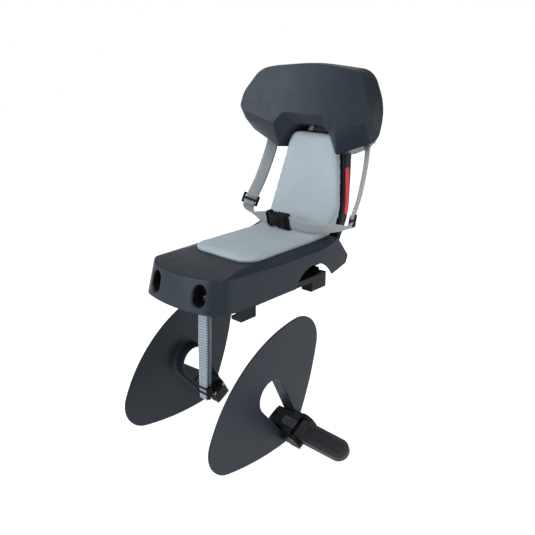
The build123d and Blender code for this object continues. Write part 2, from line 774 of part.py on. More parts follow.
def shoulder_plane():
    """Plane of the right shoulder strap: x across the webbing, z up along it."""
    low = Vector(SLIDER_X, SLIDER_Y, SLIDER_Z)
    top = Vector(HARNESS_X, HARNESS_TOP_Y, HARNESS_TOP_Z)
    run = (top - low).normalized()
    across = Vector(-cos(radians(WEB_TURN)), sin(radians(WEB_TURN)), 0)
    across = (across - run * across.dot(run)).normalized()
    return Plane(origin=low, x_dir=across, z_dir=run), (top - low).length


def shoulder_strap():
    plane, length = shoulder_plane()
    start = SLIDER_HEIGHT / 2 + FITTING_GAP
    end = length - ANCHOR_R - FITTING_GAP
    return plane * slab(-WEB_WIDTH / 2, WEB_WIDTH / 2, -WEB_THICK / 2, WEB_THICK / 2, start, end)


def strap_passages():
    """Slots where the shoulder straps leave the headrest."""
    plane, length = shoulder_plane()
    half = WEB_WIDTH / 2 + 2 * FITTING_GAP + WEB_THICK
    slot = plane * slab(-half, half, -2 * WEB_THICK, 2 * WEB_THICK, SLIDER_HEIGHT, length)
    return slot + opposite(slot)


def strap_slider():
    """A three-bar slide on the webbing."""
    plane, length = shoulder_plane()
    outline = RectangleRounded(SLIDER_WIDTH, SLIDER_HEIGHT, SLIDER_BAR)
    frame = extrude(outline, amount=SLIDER_THICK / 2, both=True)
    slot_h = (SLIDER_HEIGHT - 3 * SLIDER_BAR) / 2
    for s in (-1, 1):
        window = Box(WEB_WIDTH + OVERCUT, slot_h, 2 * SLIDER_THICK)
        frame -= Pos(0, s * (slot_h + SLIDER_BAR) / 2, 0) * window
    return plane * Rot(90, 0, 0) * frame


def waist_strap(end_x):
    """A belt from the buckle's end round to the slider on the same side."""
    side = 1 if end_x > BUCKLE_X else -1
    cap = WEB_THICK / 2
    reach = side * SLIDER_X
    slope = atan((SLIDER_Z - BUCKLE_Z) / abs(reach - end_x))
    start = (end_x + side * (FITTING_GAP / cos(slope) + WEB_WIDTH / 2 * tan(slope) + cap), 0)
    finish = (reach, SLIDER_Y - BUCKLE_Y)
    path = TangentArc(start, finish, tangent=(side, 0))
    ribbon = offset(path, amount=WEB_THICK / 2, kind=Kind.INTERSECTION)
    band = extrude(make_face(ribbon), amount=WEB_WIDTH / 2, both=True)
    turned = Pos(end_x, 0, 0) * Rot(0, -side * degrees(slope), 0) * Pos(-end_x, 0, 0) * band
    plane, length = shoulder_plane()
    beyond = plane * slab(-BIG, BIG, -BIG, SLIDER_THICK / 2 + FITTING_GAP, -BIG, BIG)
    return Pos(0, BUCKLE_Y, BUCKLE_Z) * turned - (beyond if side > 0 else opposite(beyond))


def buckle_body(x0, x1):
    block = slab(x0, x1, -BUCKLE_THICK / 2, BUCKLE_THICK / 2, -BUCKLE_HEIGHT / 2, BUCKLE_HEIGHT / 2)
    return fillet(block.edges().filter_by(Axis.Y), BUCKLE_R)


def make_buckle_socket():
    """Open-ended socket of the side-release buckle, with windows for the prongs."""
    x0 = -BUCKLE_LENGTH / 2
    x1 = x0 + BUCKLE_SPLIT
    body = buckle_body(x0, x1)
    inner_h = BUCKLE_HEIGHT / 2 - LOCK_BAR
    inner_d = BUCKLE_THICK / 2 - BUCKLE_WALL
    body -= slab(x0 + 2 * SLIDER_BAR, x1 + OVERCUT, -inner_d, inner_d, -inner_h, inner_h)
    for s in (-1, 1):
        low = min(s * inner_h, s * BUCKLE_HEIGHT)
        high = max(s * inner_h, s * BUCKLE_HEIGHT)
        body -= slab(x0 + 3 * SLIDER_BAR, x1 - SLIDER_BAR, -BUCKLE_THICK / 4, BUCKLE_THICK / 4, low, high)
    return Pos(BUCKLE_X, BUCKLE_Y, BUCKLE_Z) * body


def make_buckle_plug():
    """Plug with two sprung prongs and a centre tongue, clicked into the socket."""
    x0 = -BUCKLE_LENGTH / 2 + BUCKLE_SPLIT + FITTING_GAP
    x1 = BUCKLE_LENGTH / 2
    body = buckle_body(x0, x1)
    depth = BUCKLE_THICK / 2 - BUCKLE_WALL - FITTING_GAP
    inner_h = BUCKLE_HEIGHT / 2 - LOCK_BAR - FITTING_GAP
    tip = -BUCKLE_LENGTH / 2 + 3 * SLIDER_BAR
    body += slab(tip + SLIDER_BAR, x0 + OVERCUT, -depth, depth, -LOCK_BAR / 2, LOCK_BAR / 2)
    for s in (-1, 1):
        low = min(s * inner_h, s * (inner_h - LOCK_BAR))
        body += slab(tip, x0 + OVERCUT, -depth, depth, low, low + LOCK_BAR)
    return Pos(BUCKLE_X, BUCKLE_Y, BUCKLE_Z) * body


# Base
def jaw_bands():
    """The stretches along Y of the front and rear jaws."""
    front = (FRONT_JAW_Y - FRONT_JAW_LENGTH / 2, FRONT_JAW_Y + FRONT_JAW_LENGTH / 2)
    rear = (REAR_JAW_Y - REAR_JAW_LENGTH / 2, REAR_JAW_Y + REAR_JAW_LENGTH / 2)
    return front, rear


def lug_span():
    """The lug behind the bulkhead, along Y."""
    y0 = BASE_FRONT + BULKHEAD_THICK + LUG_GAP
    return y0, y0 + LUG_THICK


def bolt_height():
    return PORT_Z - BOLT_HEAD_DROP


def tongue_reach():
    """How near to the middle a rail's tongues come when the clamps are closed."""
    return TONGUE_INNER - CLAMP_IN - SLIDE_GAP


def both_sides(x0, y0, y1, z0, z1):
    """Slabs on both sides that start at a distance from the symmetry plane and have no outer end."""
    right = slab(x0, BIG, y0, y1, z0, z1)
    return right + opposite(right)


def make_base_plate():
    half = BASE_WIDTH / 2
    base = slab(-half, half, BASE_FRONT, BASE_DECK_REAR, 0, BASE_TOP)
    base += slab(-TOWER_WIDTH / 2, TOWER_WIDTH / 2, TOWER_FRONT, BASE_REAR, 0, BEAM_TOP)
    base += slab(-BEAM_WIDTH / 2, BEAM_WIDTH / 2, BEAM_FRONT, BASE_REAR, BEAM_BOTTOM, BEAM_TOP)
    wide = BULKHEAD_WIDTH / 2
    base += slab(-wide, wide, BASE_FRONT, BASE_FRONT + BULKHEAD_THICK, 0, BULKHEAD_TOP)
    z0 = TONGUE_FLOOR
    z1 = TONGUE_FLOOR + TONGUE_THICK + 2 * SLIDE_GAP
    notch = TUBE_SPACING / 2 - CLAMP_IN + TUBE_R * cos(radians(JAW_TIP_ANGLE)) - JAW_WALL
    for y0, y1 in jaw_bands():
        a = y0 - SLIDE_GAP
        b = y1 + SLIDE_GAP
        base -= both_sides(tongue_reach(), a, b, z0, z1)
        base -= both_sides(notch, a, b, -OVERCUT, BASE_TOP + OVERCUT)
    bolt_x = PORT_SPACING / 2
    inner = bolt_x - lug_half() - CLAMP_IN - LUG_MARGIN
    base -= both_sides(inner, lug_span()[0] - LUG_GAP, jaw_bands()[0][0], z0, BIG)
    bulkhead_back = BASE_FRONT + BULKHEAD_THICK + OVERCUT
    for x in (-bolt_x, bolt_x):
        base -= along_y(BOLT_R + BOLT_HOLE_GAP, x, bolt_height(), BASE_FRONT - OVERCUT, bulkhead_back)
    for x, y in boss_places():
        base -= along_z(SCREW_R + SCREW_GAP, x, y, -OVERCUT, BASE_TOP + OVERCUT)
        base -= along_z(SCREW_HEAD_R + SCREW_GAP, x, y, -OVERCUT, SCREW_HEAD + HEAD_RECESS)
    for x, y in frame_bolt_places():
        base -= along_z(BOLT_R + BOLT_HOLE_GAP, x, y, 0, BEAM_TOP + OVERCUT)
        base -= along_z(BOLT_HEAD_R + BOLT_HOLE_GAP, x, y, 0, BEAM_BOTTOM + BOLT_HEAD)
    loop = BELT_PIN_R + BELT_GAP + 2 * BELT_THICK
    slot = BELT_WIDTH / 2 + BELT_SIDE
    base -= slab(-slot, slot, BELT_PIN_Y - loop, BELT_PIN_Y + loop, -OVERCUT, BIG)
    grip = slot + BELT_PIN_GRIP
    base -= along_x(BELT_PIN_R + SCREW_GAP, BELT_PIN_Y, BELT_PIN_Z, -grip, grip)
    y0 = jaw_bands()[0][1] + BASE_RIB * 2
    y1 = jaw_bands()[1][0] - BASE_RIB * 2
    pitch = (y1 - y0) / BASE_RIB_ROWS
    inner_x = SCREW_X - SCREW_HEAD_R - BASE_RIB
    for i in range(BASE_RIB_ROWS):
        a = y0 + i * pitch + BASE_RIB / 2
        pocket = slab(BASE_RIB, inner_x, a, a + pitch - BASE_RIB, -OVERCUT, BASE_TOP - BASE_SKIN)
        base -= pocket + opposite(pocket)
    return base


def make_base_screws():
    screws = []
    for x, y in boss_places():
        screw = along_z(SCREW_R, x, y, SCREW_HEAD, BASE_TOP + SCREW_BITE)
        screws.append(screw + along_z(SCREW_HEAD_R, x, y, HEAD_RECESS, SCREW_HEAD + HEAD_RECESS))
    return screws


def make_frame_bolts():
    bolts = []
    for x, y in frame_bolt_places():
        seat = BEAM_BOTTOM + BOLT_HEAD
        bolt = along_z(BOLT_R, x, y, seat, BEAM_TOP + FRAME_BOLT_BITE)
        head = along_z(BOLT_HEAD_R, x, y, BEAM_BOTTOM, seat)
        key = extrude(Pos(x, y, BEAM_BOTTOM) * hexagon(BOLT_KEY), amount=BOLT_HEAD / 2)
        bolts.append(bolt + head - key)
    return bolts


def hexagon(across_flats):
    return RegularPolygon(across_flats / 2, 6, major_radius=False)


# Carrier clamps
def lug_half():
    """Half width of a lug, long enough for its slot to pass the bolt over the whole travel."""
    return (CLAMP_IN + CLAMP_OUT) / 2 + BOLT_R + LUG_MARGIN


def jaw_section():
    """Hooked section of a jaw, (x, z), round the carrier's tube."""
    axis = (TUBE_SPACING / 2, -TUBE_R - TUBE_GAP)
    outer = axis[0] + TUBE_R + JAW_WALL + RAIL_THICK
    tip = axis[0] - TUBE_R * sin(radians(JAW_TIP_ANGLE))
    low = axis[1] - TUBE_R - JAW_LIP
    top = TONGUE_FLOOR + TONGUE_THICK + SLIDE_GAP
    inner = axis[0] + TUBE_R * cos(radians(JAW_TIP_ANGLE))
    hook = FilletPolyline(
        (tip, axis[1]), (tip, low), (outer, low), (outer, top), (inner, top), (inner, axis[1]),
        radius=(0, JAW_R, JAW_R, JAW_R, 0, 0), close=True,
    )
    return make_face(hook) - Pos(*axis) * Circle(TUBE_R)


def clamp_rail():
    """Right-hand rail: two hooked jaws, their sliding tongues, the side bar and the slotted lug."""
    outer = TUBE_SPACING / 2 + TUBE_R + JAW_WALL + RAIL_THICK
    z0 = TONGUE_FLOOR + SLIDE_GAP
    z1 = z0 + TONGUE_THICK
    front, rear = jaw_bands()
    rail = slab(outer - RAIL_THICK, outer, front[0], rear[1], RAIL_BOTTOM, z1)
    for y0, y1 in (front, rear):
        rail += extrude(Plane.XZ.offset(-y1) * jaw_section(), amount=y1 - y0)
        rail += slab(TONGUE_INNER, outer - OVERCUT, y0, y1, z0, z1)
    bolt_x = PORT_SPACING / 2
    lug_y = lug_span()
    rail += slab(bolt_x - ARM_WIDTH / 2, bolt_x + ARM_WIDTH / 2, lug_y[0], front[0] + OVERCUT, z0, z1)
    shift = (CLAMP_IN - CLAMP_OUT) / 2
    centre = bolt_x + shift
    lug_top = bolt_height() + BOLT_R + LUG_MARGIN
    rail += slab(centre - lug_half(), centre + lug_half(), *lug_y, z0, lug_top)
    hole = 2 * (BOLT_R + BOLT_HOLE_GAP)
    slot = Pos(centre, bolt_height()) * SlotOverall(CLAMP_IN + CLAMP_OUT + hole, hole)
    return rail - extrude(Plane.XZ.offset(-lug_y[1] - OVERCUT) * slot, amount=LUG_THICK + 2 * OVERCUT)


def lock_bolt():
    """Right-hand locking bolt with a hexagon socket."""
    x = PORT_SPACING / 2
    z = bolt_height()
    end = lug_span()[1] + LUG_GAP + WASHER_THICK + NUT_THICK + BOLT_TAIL
    bolt = along_y(BOLT_R, x, z, BASE_FRONT - OVERCUT, end)
    bolt += along_y(BOLT_HEAD_R, x, z, BASE_FRONT - BOLT_HEAD, BASE_FRONT)
    face = Plane.XZ.offset(-BASE_FRONT + BOLT_HEAD / 2)
    return bolt - extrude(face * Pos(x, z) * hexagon(BOLT_KEY), amount=BOLT_HEAD)


def lock_washer():
    x = PORT_SPACING / 2
    y = lug_span()[1] + LUG_GAP
    ring = along_y(WASHER_R, x, bolt_height(), y, y + WASHER_THICK)
    return ring - along_y(BOLT_R + BOLT_HOLE_GAP, x, bolt_height(), y - OVERCUT, y + WASHER_THICK + OVERCUT)


def lock_nut():
    x = PORT_SPACING / 2
    y = lug_span()[1] + LUG_GAP + WASHER_THICK
    section = hexagon(NUT_AF) - Circle(BOLT_R + SCREW_GAP)
    return extrude(Plane.XZ.offset(-y - NUT_THICK) * Pos(x, bolt_height()) * section, amount=NUT_THICK)


# Safety strap
def make_safety_strap():
    """A closed loop of webbing over the pin in the base and through the ladder lock."""
    top = Pos(BELT_PIN_Y, BELT_PIN_Z) * Circle(BELT_PIN_R + BELT_GAP)
    low = Pos(BELT_Y, BELT_LOW_Z) * Circle(BELT_LOW_R)
    core = make_hull(top.edges() + low.edges())
    loop = offset(core, amount=BELT_THICK) - core
    return side_prism(loop, BELT_WIDTH / 2)


def make_strap_pin():
    grip = BELT_WIDTH / 2 + BELT_SIDE + BELT_PIN_GRIP - OVERCUT
    return along_x(BELT_PIN_R, BELT_PIN_Y, BELT_PIN_Z, -grip, grip)


def make_ladder_lock():
    """Ladder lock round the low end of the strap."""
    top = BELT_LOW_Z + LOCK_HEIGHT
    inner = BELT_WIDTH / 2 + FITTING_GAP
    depth = LOCK_DEPTH / 2
    lock = slab(-LOCK_WIDTH / 2, LOCK_WIDTH / 2, BELT_Y - depth, BELT_Y + depth, BELT_LOW_Z, top)
    lock = fillet(lock.edges().filter_by(Axis.Y), LOCK_BAR)
    lock -= slab(-inner, inner, BELT_Y - BIG, BELT_Y + BIG, BELT_LOW_Z - OVERCUT, top + OVERCUT)
    rest = BELT_LOW_R - FITTING_GAP
    lock += along_x(rest, BELT_Y, BELT_LOW_Z, -LOCK_WIDTH / 2, LOCK_WIDTH / 2)
    for i in (1, 2):
        z = BELT_LOW_Z + i * (LOCK_HEIGHT - LOCK_BAR) / 2
        face = BELT_Y - depth - LOCK_BAR / 2
        half = LOCK_BAR / 2
        lock += slab(-LOCK_WIDTH / 2, LOCK_WIDTH / 2, face, face + half, z - half, z + half)
    return lock


# Wheel guards, brackets and footrests, right-hand pieces
def hole_outline(grow=0.0):
    """Teardrop hole of the guard, (y, z)."""
    top = Pos(*HOLE_TOP) * Circle(HOLE_TOP_R + grow)
    low = Pos(*HOLE_LOW) * Circle(HOLE_LOW_R + grow)
    return make_hull(top.edges() + low.edges())


def guard():
    """A rounded fan-shaped plate with an inward collar round its hole."""
    edges = [
        SagittaArc(GUARD_TOP, GUARD_FRONT, -GUARD_FRONT_BULGE),
        SagittaArc(GUARD_FRONT, GUARD_REAR, -GUARD_LOW_BULGE),
        SagittaArc(GUARD_REAR, GUARD_TOP, -GUARD_REAR_BULGE),
    ]
    plate = make_face(edges)
    corners = ((GUARD_TOP, GUARD_TOP_R), (GUARD_FRONT, GUARD_FRONT_R), (GUARD_REAR, GUARD_REAR_R))
    for corner, radius in corners:
        vertex = plate.vertices().sort_by_distance((corner[0], corner[1], 0))[0]
        plate = fillet(vertex, radius)
    outer = Plane.YZ.offset(GUARD_X + GUARD_WALL / 2)
    body = extrude(outer * plate, amount=-GUARD_WALL)
    body += extrude(outer * hole_outline(GUARD_WALL), amount=-HOLE_COLLAR, taper=HOLE_COLLAR_DRAFT)
    near = HOLE_TOP_R + HOLE_LOW_R + GUARD_WALL
    middle = ((HOLE_TOP[0] + HOLE_LOW[0]) / 2, (HOLE_TOP[1] + HOLE_LOW[1]) / 2)
    inner = GUARD_X - GUARD_WALL / 2
    root = body.edges().filter_by_position(Axis.X, inner - SCREW_GAP, inner + SCREW_GAP)
    root = root.filter_by(lambda e: (e.center() - Vector(inner, *middle)).length < near)
    body = fillet(root, COLLAR_ROOT_R)
    return body - extrude(outer * hole_outline(), amount=-HOLE_COLLAR, taper=HOLE_COLLAR_DRAFT)


def tilted(shape):
    """Move a shape from the bracket's own frame, centred on the low end of the hole, to the part's frame."""
    return Pos(0, *HOLE_LOW) * Rot(FOOT_TILT, 0, 0) * shape


def on_deck(shape):
    """Move a shape from the sloping deck's frame to the bracket's frame."""
    return Pos(bracket_inner(), 0, DECK_HEIGHT) * Rot(0, DECK_SLOPE, 0) * shape


def on_hinge(shape):
    """Move a shape from the footrest's frame, with its origin on the hinge, to the bracket's frame."""
    return Pos(HINGE_X, FOOT_V, HINGE_W) * Rot(0, FOOT_PITCH, 0) * shape


def bracket_inner():
    """Inner face of the bracket's body, against the guard."""
    return GUARD_X + GUARD_WALL / 2 + BRACKET_GAP


def hook_outer():
    """Face of the hook behind the collar's rim."""
    return GUARD_X + GUARD_WALL / 2 - HOLE_COLLAR - STOP_GAP


def lock_block_span(grow=0.0):
    """Half width of the fold-lock block, with or without its clearance."""
    return LOCK_BLOCK_WIDTH / 2 + grow


def bracket_screw_places():
    return [(s * BRACKET_SCREW_V, BRACKET_SCREW_W) for s in (-1, 1)]


def bracket():
    """Right-hand bracket: body, neck through the guard, inner hook, hinge ears and stop tongue."""
    section = FilletPolyline(
        (-BRACKET_NEAR, -BRACKET_WAIST), (-BRACKET_SHOULDER, HOOK_TOP), (BRACKET_FAR, HOOK_TOP),
        (BRACKET_FAR, -BRACKET_LOW), (-BRACKET_NEAR, -BRACKET_LOW), radius=BRACKET_R, close=True,
    )
    inner = bracket_inner()
    body = extrude(Plane.YZ.offset(inner) * make_face(section), amount=BRACKET_END_X - inner)
    body += along_x(NECK_R, 0, 0, hook_outer() - OVERCUT, inner + OVERCUT)
    middle = (HOOK_TOP - HOOK_LOW) / 2
    plate = Pos(0, middle) * RectangleRounded(HOOK_WIDTH, HOOK_TOP + HOOK_LOW, HOOK_R)
    start = STAY_X + STAY_SPLIT / 2
    body += extrude(Plane.YZ.offset(start) * plate, amount=hook_outer() - start)
    body += hinge_ears()
    body -= on_deck(slab(-BIG, BRACKET_END_X - inner, -BIG, BIG, 0, BIG))
    for i in range(SERRATION_COUNT):
        v = (i - (SERRATION_COUNT - 1) / 2) * SERRATION_PITCH
        tooth = Rot(45, 0, 0) * Box(2 * HOLE_COLLAR, SERRATION_DEPTH, SERRATION_DEPTH)
        body -= on_deck(Pos(start - inner, v, 0) * tooth)
    body -= along_z(STAY_R, STAY_X, 0, -BIG, BIG)
    reach = LOCK_BLOCK_HEIGHT + LOCK_BLOCK_TRAVEL + LOCK_BLOCK_GAP
    half = lock_block_span(LOCK_BLOCK_GAP)
    body -= on_deck(slab(-LOCK_BLOCK_IN - LOCK_BLOCK_GAP, BIG, FOOT_V - half, FOOT_V + half, -reach, BIG))
    for v, w in bracket_screw_places():
        end = start + BRACKET_SCREW_BITE + OVERCUT
        body -= along_x(BRACKET_SCREW_R + SCREW_GAP, v, w, start - OVERCUT, end)
    return tilted(body)


def hinge_ears():
    """Two ears beside the footrest's root and the stop tongue under it."""
    side = FOOT_WIDTH / 2 + EAR_GAP
    profile = FilletPolyline(
        (BRACKET_END_X - OVERCUT, HINGE_W + EAR_R), (HINGE_X, HINGE_W + EAR_R), (HINGE_X + EAR_R, HINGE_W),
        (STOP_X, HINGE_W - FOOT_BOTTOM), (STOP_X, -BRACKET_LOW), (BRACKET_END_X - OVERCUT, -BRACKET_LOW),
        radius=(0, EAR_R / 3, EAR_R / 2, OVERCUT, BRACKET_R, 0), close=True,
    )
    block = extrude(Plane.XZ.offset(-BRACKET_FAR) * make_face(profile), amount=BRACKET_FAR + BRACKET_NEAR)
    block -= on_hinge(slab(-BIG, BIG, -side, side, -FOOT_BOTTOM - STOP_GAP, BIG))
    low = -BRACKET_LOW + FOOT_BOTTOM / 2
    block -= slab(-BIG, HINGE_X, FOOT_V - side, FOOT_V + side, low, BIG)
    return block - on_hinge(along_y(PIN_R + PIN_GAP, 0, 0, -BIG, BIG))


def stay_jaw():
    """Right-hand jaw that closes the clamp round the stay."""
    half = JAW_BLOCK_WIDTH / 2
    end = STAY_X - STAY_SPLIT / 2
    jaw = slab(JAW_BLOCK_INNER, end, -half, half, -HOOK_LOW, JAW_BLOCK_TOP)
    jaw = chamfer(jaw.faces().sort_by(Axis.X)[0].edges(), JAW_BLOCK_CHAMFER)
    jaw -= along_z(STAY_R, STAY_X, 0, -BIG, BIG)
    for v, w in bracket_screw_places():
        face = JAW_BLOCK_INNER - OVERCUT
        jaw -= along_x(BRACKET_SCREW_R + SCREW_GAP, v, w, face, STAY_X)
        jaw -= along_x(SCREW_HEAD_R + SCREW_GAP, v, w, face, jaw_screw_seat())
    return tilted(jaw)


def jaw_screw_seat():
    return JAW_BLOCK_INNER + JAW_BLOCK_CHAMFER


def bracket_screws():
    screws = []
    for v, w in bracket_screw_places():
        seat = jaw_screw_seat()
        screw = along_x(BRACKET_SCREW_R, v, w, seat - OVERCUT, STAY_X + BRACKET_SCREW_BITE)
        screws.append(tilted(screw + along_x(SCREW_HEAD_R, v, w, seat - SCREW_HEAD, seat)))
    return screws


def hinge_pin():
    half = FOOT_WIDTH / 2 + EAR_GAP
    far = BRACKET_FAR - FOOT_V - FITTING_GAP
    near = min(BRACKET_NEAR + FOOT_V, half + EAR_R) - FITTING_GAP
    return tilted(on_hinge(along_y(PIN_R, 0, 0, -near, far)))


def foot_plan(inset=0.0):
    """Plan of the footrest in its own frame: a round root and a round tip."""
    half = FOOT_WIDTH / 2 - inset
    length = FOOT_TIP_X - HINGE_X - inset
    straight = length - half
    edges = [
        Line((-FOOT_TOP, -half), (straight, -half)),
        ThreePointArc((straight, -half), (length, 0), (straight, half)),
        Line((straight, half), (-FOOT_TOP, half)),
        Line((-FOOT_TOP, half), (-FOOT_TOP, -half)),
    ]
    return make_face(edges)


def foot_side(wall=0.0):
    """Side outline of the footrest: thinner towards the tip, stepped under the round root."""
    length = FOOT_TIP_X - HINGE_X
    top = FOOT_TOP - wall
    corners = ((0, top), (length, top), (length, -FOOT_TIP_BOTTOM), (0, -FOOT_BOTTOM))
    return make_face(Polyline(*corners, close=True))


def tread_outline(grow=0.0):
    oval = SlotOverall(TREAD_LENGTH + 2 * grow, TREAD_WIDTH + 2 * grow)
    return Pos(TREAD_START + TREAD_LENGTH / 2, 0) * oval


def footrest():
    """Right-hand footrest with a tread recess above and a ribbed hollow below."""
    half = FOOT_WIDTH / 2
    side = extrude(Plane.XZ.offset(-half) * foot_side(), amount=FOOT_WIDTH)
    body = side & extrude(Pos(0, 0, -BIG / 2) * foot_plan(), amount=BIG)
    body += along_y(FOOT_TOP, 0, 0, -half, half)
    rim = body.faces().sort_by(Axis.Z)[-1].edges().filter_by(lambda e: e.center().X > FOOT_EDGE_R)
    body = fillet(rim, FOOT_EDGE_R)
    body -= extrude(Pos(0, 0, FOOT_TOP - TREAD_DEPTH) * tread_outline(), amount=BIG)
    roof = TREAD_DEPTH + FOOT_WALL
    hollow = extrude(Plane.XZ.offset(-half) * foot_side(roof), amount=FOOT_WIDTH)
    hollow += Pos(0, 0, -FOOT_BOTTOM) * hollow
    hollow &= extrude(Pos(0, 0, -BIG / 2) * foot_plan(FOOT_WALL), amount=BIG)
    start = FOOT_TOP + FOOT_WALL
    hollow -= slab(-BIG, start, -BIG, BIG, -BIG, BIG)
    pitch = (FOOT_TIP_X - HINGE_X - start) / (FOOT_RIBS + 1)
    for i in range(FOOT_RIBS):
        x = start + (i + 1) * pitch
        hollow -= slab(x, x + RIB_THICK, -half, half, -BIG, BIG)
    body -= hollow
    body -= along_y(PIN_R + PIN_GAP, 0, 0, -BIG, BIG)
    return tilted(on_hinge(body))


def footrest_tread():
    tread = extrude(Pos(0, 0, FOOT_TOP - TREAD_DEPTH) * tread_outline(-TREAD_GAP), amount=TREAD_THICK)
    return tilted(on_hinge(tread))


def fold_lock():
    """Right-hand block that is pressed down to free the footrest."""
    half = lock_block_span()
    near = FOOT_V - half
    block = slab(-LOCK_BLOCK_IN, LOCK_BLOCK_OUT, near, FOOT_V + half, -LOCK_BLOCK_HEIGHT, LOCK_BLOCK_PROUD)
    pitch = LOCK_BLOCK_WIDTH / (LOCK_GROOVES + 1)
    for i in range(LOCK_GROOVES):
        v = near + (i + 1) * pitch - LOCK_GROOVE_WIDTH / 2
        low = LOCK_BLOCK_PROUD - LOCK_GROOVE_DEPTH
        start = LOCK_GROOVE_END - LOCK_BLOCK_IN
        block -= slab(start, LOCK_BLOCK_OUT - LOCK_GROOVE_END, v, v + LOCK_GROOVE_WIDTH, low, BIG)
    return tilted(on_deck(block))


NODES = {}


def add(name, shape):
    """Keep a piece under its node name. Several loose solids share one node as a compound."""
    NODES[name] = Compound(children=list(shape)) if isinstance(shape, list) else shape


add("seat_shell", make_seat_shell())
add("port_sleeves", make_port_sleeves())
add("seat_cushion", cushion_solid())
add("back_frame", make_back_frame())
add("side_trims", make_side_trims())
add("base_plate", make_base_plate())
add("base_screws", make_base_screws())
add("frame_bolts", make_frame_bolts())
add("lock_bolts", [lock_bolt(), opposite(lock_bolt())])
add("lock_washers", [lock_washer(), opposite(lock_washer())])
add("lock_nuts", [lock_nut(), opposite(lock_nut())])
add("safety_strap", make_safety_strap())
add("strap_pin", make_strap_pin())
add("ladder_lock", make_ladder_lock())
add("clamp_rail_right", clamp_rail())
add("clamp_rail_left", opposite(clamp_rail()))
add("guard_right", guard())
add("guard_left", opposite(guard()))
add("footrest_bracket_right", bracket())
add("footrest_bracket_left", opposite(bracket()))
add("stay_jaw_right", stay_jaw())
add("stay_jaw_left", opposite(stay_jaw()))
add("bracket_screws", bracket_screws() + [opposite(screw) for screw in bracket_screws()])
add("hinge_pins", [hinge_pin(), opposite(hinge_pin())])
add("footrest_right", footrest())
add("footrest_left", opposite(footrest()))
add("footrest_tread_right", footrest_tread())
add("footrest_tread_left", opposite(footrest_tread()))
add("fold_lock_right", fold_lock())
add("fold_lock_left", opposite(fold_lock()))
add("headrest_shell", make_headrest_shell())
add("headrest_back", make_headrest_back())
add("headrest_screws", make_headrest_screws())
add("detent_spring", make_detent_spring())
add("strap_anchors", make_strap_anchors())
add("shoulder_strap_right", shoulder_strap())
add("shoulder_strap_left", opposite(shoulder_strap()))
add("strap_slider_right", strap_slider())
add("strap_slider_left", opposite(strap_slider()))
add("waist_strap_right", waist_strap(BUCKLE_X + BUCKLE_LENGTH / 2))
add("waist_strap_left", waist_strap(BUCKLE_X - BUCKLE_LENGTH / 2))
add("buckle_socket", make_buckle_socket())
add("buckle_plug", make_buckle_plug())

for name, shape in NODES.items():
    export_step(shape, f"parts/{name}.step")
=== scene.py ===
# %% [markdown]
# A junior bicycle seat: a moulded bench with a foam pad, a sliding headrest with a harness, and two wheel
# guards that carry fold-up footrests. The frame holds every rigid piece at its real place and size.
# This lesson dresses it: camera and light first, then finishes, then the soft and fine pieces one by one.

# %% Load the frame
import bpy
import json
import math
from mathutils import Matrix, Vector


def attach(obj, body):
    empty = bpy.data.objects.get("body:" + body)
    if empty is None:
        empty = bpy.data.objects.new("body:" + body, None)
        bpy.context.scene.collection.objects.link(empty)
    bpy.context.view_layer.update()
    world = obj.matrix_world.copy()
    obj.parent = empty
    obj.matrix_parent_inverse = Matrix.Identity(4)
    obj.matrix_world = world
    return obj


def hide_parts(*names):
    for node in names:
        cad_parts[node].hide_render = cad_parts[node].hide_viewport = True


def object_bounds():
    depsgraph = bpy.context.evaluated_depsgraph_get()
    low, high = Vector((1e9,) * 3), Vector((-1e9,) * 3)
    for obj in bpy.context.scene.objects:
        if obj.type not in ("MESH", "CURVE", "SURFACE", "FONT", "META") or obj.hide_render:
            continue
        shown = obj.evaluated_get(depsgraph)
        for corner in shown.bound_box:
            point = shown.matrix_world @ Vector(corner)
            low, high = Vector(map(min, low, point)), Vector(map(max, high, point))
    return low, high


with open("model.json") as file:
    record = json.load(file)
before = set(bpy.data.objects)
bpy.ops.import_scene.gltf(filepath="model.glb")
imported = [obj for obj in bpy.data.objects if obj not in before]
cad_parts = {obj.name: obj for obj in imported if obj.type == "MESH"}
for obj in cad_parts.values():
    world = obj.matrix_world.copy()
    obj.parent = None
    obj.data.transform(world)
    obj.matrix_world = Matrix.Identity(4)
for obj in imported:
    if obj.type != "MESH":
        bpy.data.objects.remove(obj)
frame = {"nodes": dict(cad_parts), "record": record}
cad_low, cad_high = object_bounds()
nodes = frame["nodes"]
MM = 0.001
print("frame:", len(nodes), "nodes,", [round(d / MM) for d in cad_high - cad_low], "mm")

# %% [markdown]
# The picture was taken with a normal lens from the front right, a little above the bench. A camera needs
# only a place, a direction and a focal length; a track quaternion turns its -Z axis along the direction.
# The floor is one pale sheet just under the guards.

# %% Camera and floor
CAMERA_PLACE = Vector((0.8359, -0.8894, 0.462))
CAMERA_AZIMUTH = math.radians(41.97)
CAMERA_ELEVATION = math.radians(19.48)
CAMERA_LENS = 44.36
SENSOR_WIDTH = 36.0
FLOOR_SIZE = 12.0
FLOOR_GAP = 0.5 * MM


def camera_direction():
    """Unit vector along which the camera looks."""
    level = math.cos(CAMERA_ELEVATION)
    x = -math.sin(CAMERA_AZIMUTH) * level
    y = math.cos(CAMERA_AZIMUTH) * level
    return Vector((x, y, -math.sin(CAMERA_ELEVATION)))


bpy.ops.object.select_all(action="DESELECT")
bpy.ops.object.camera_add(location=CAMERA_PLACE)
camera = bpy.context.object
camera.rotation_euler = camera_direction().to_track_quat("-Z", "Y").to_euler()
camera.data.lens = CAMERA_LENS
camera.data.sensor_width = SENSOR_WIDTH
bpy.context.scene.camera = camera

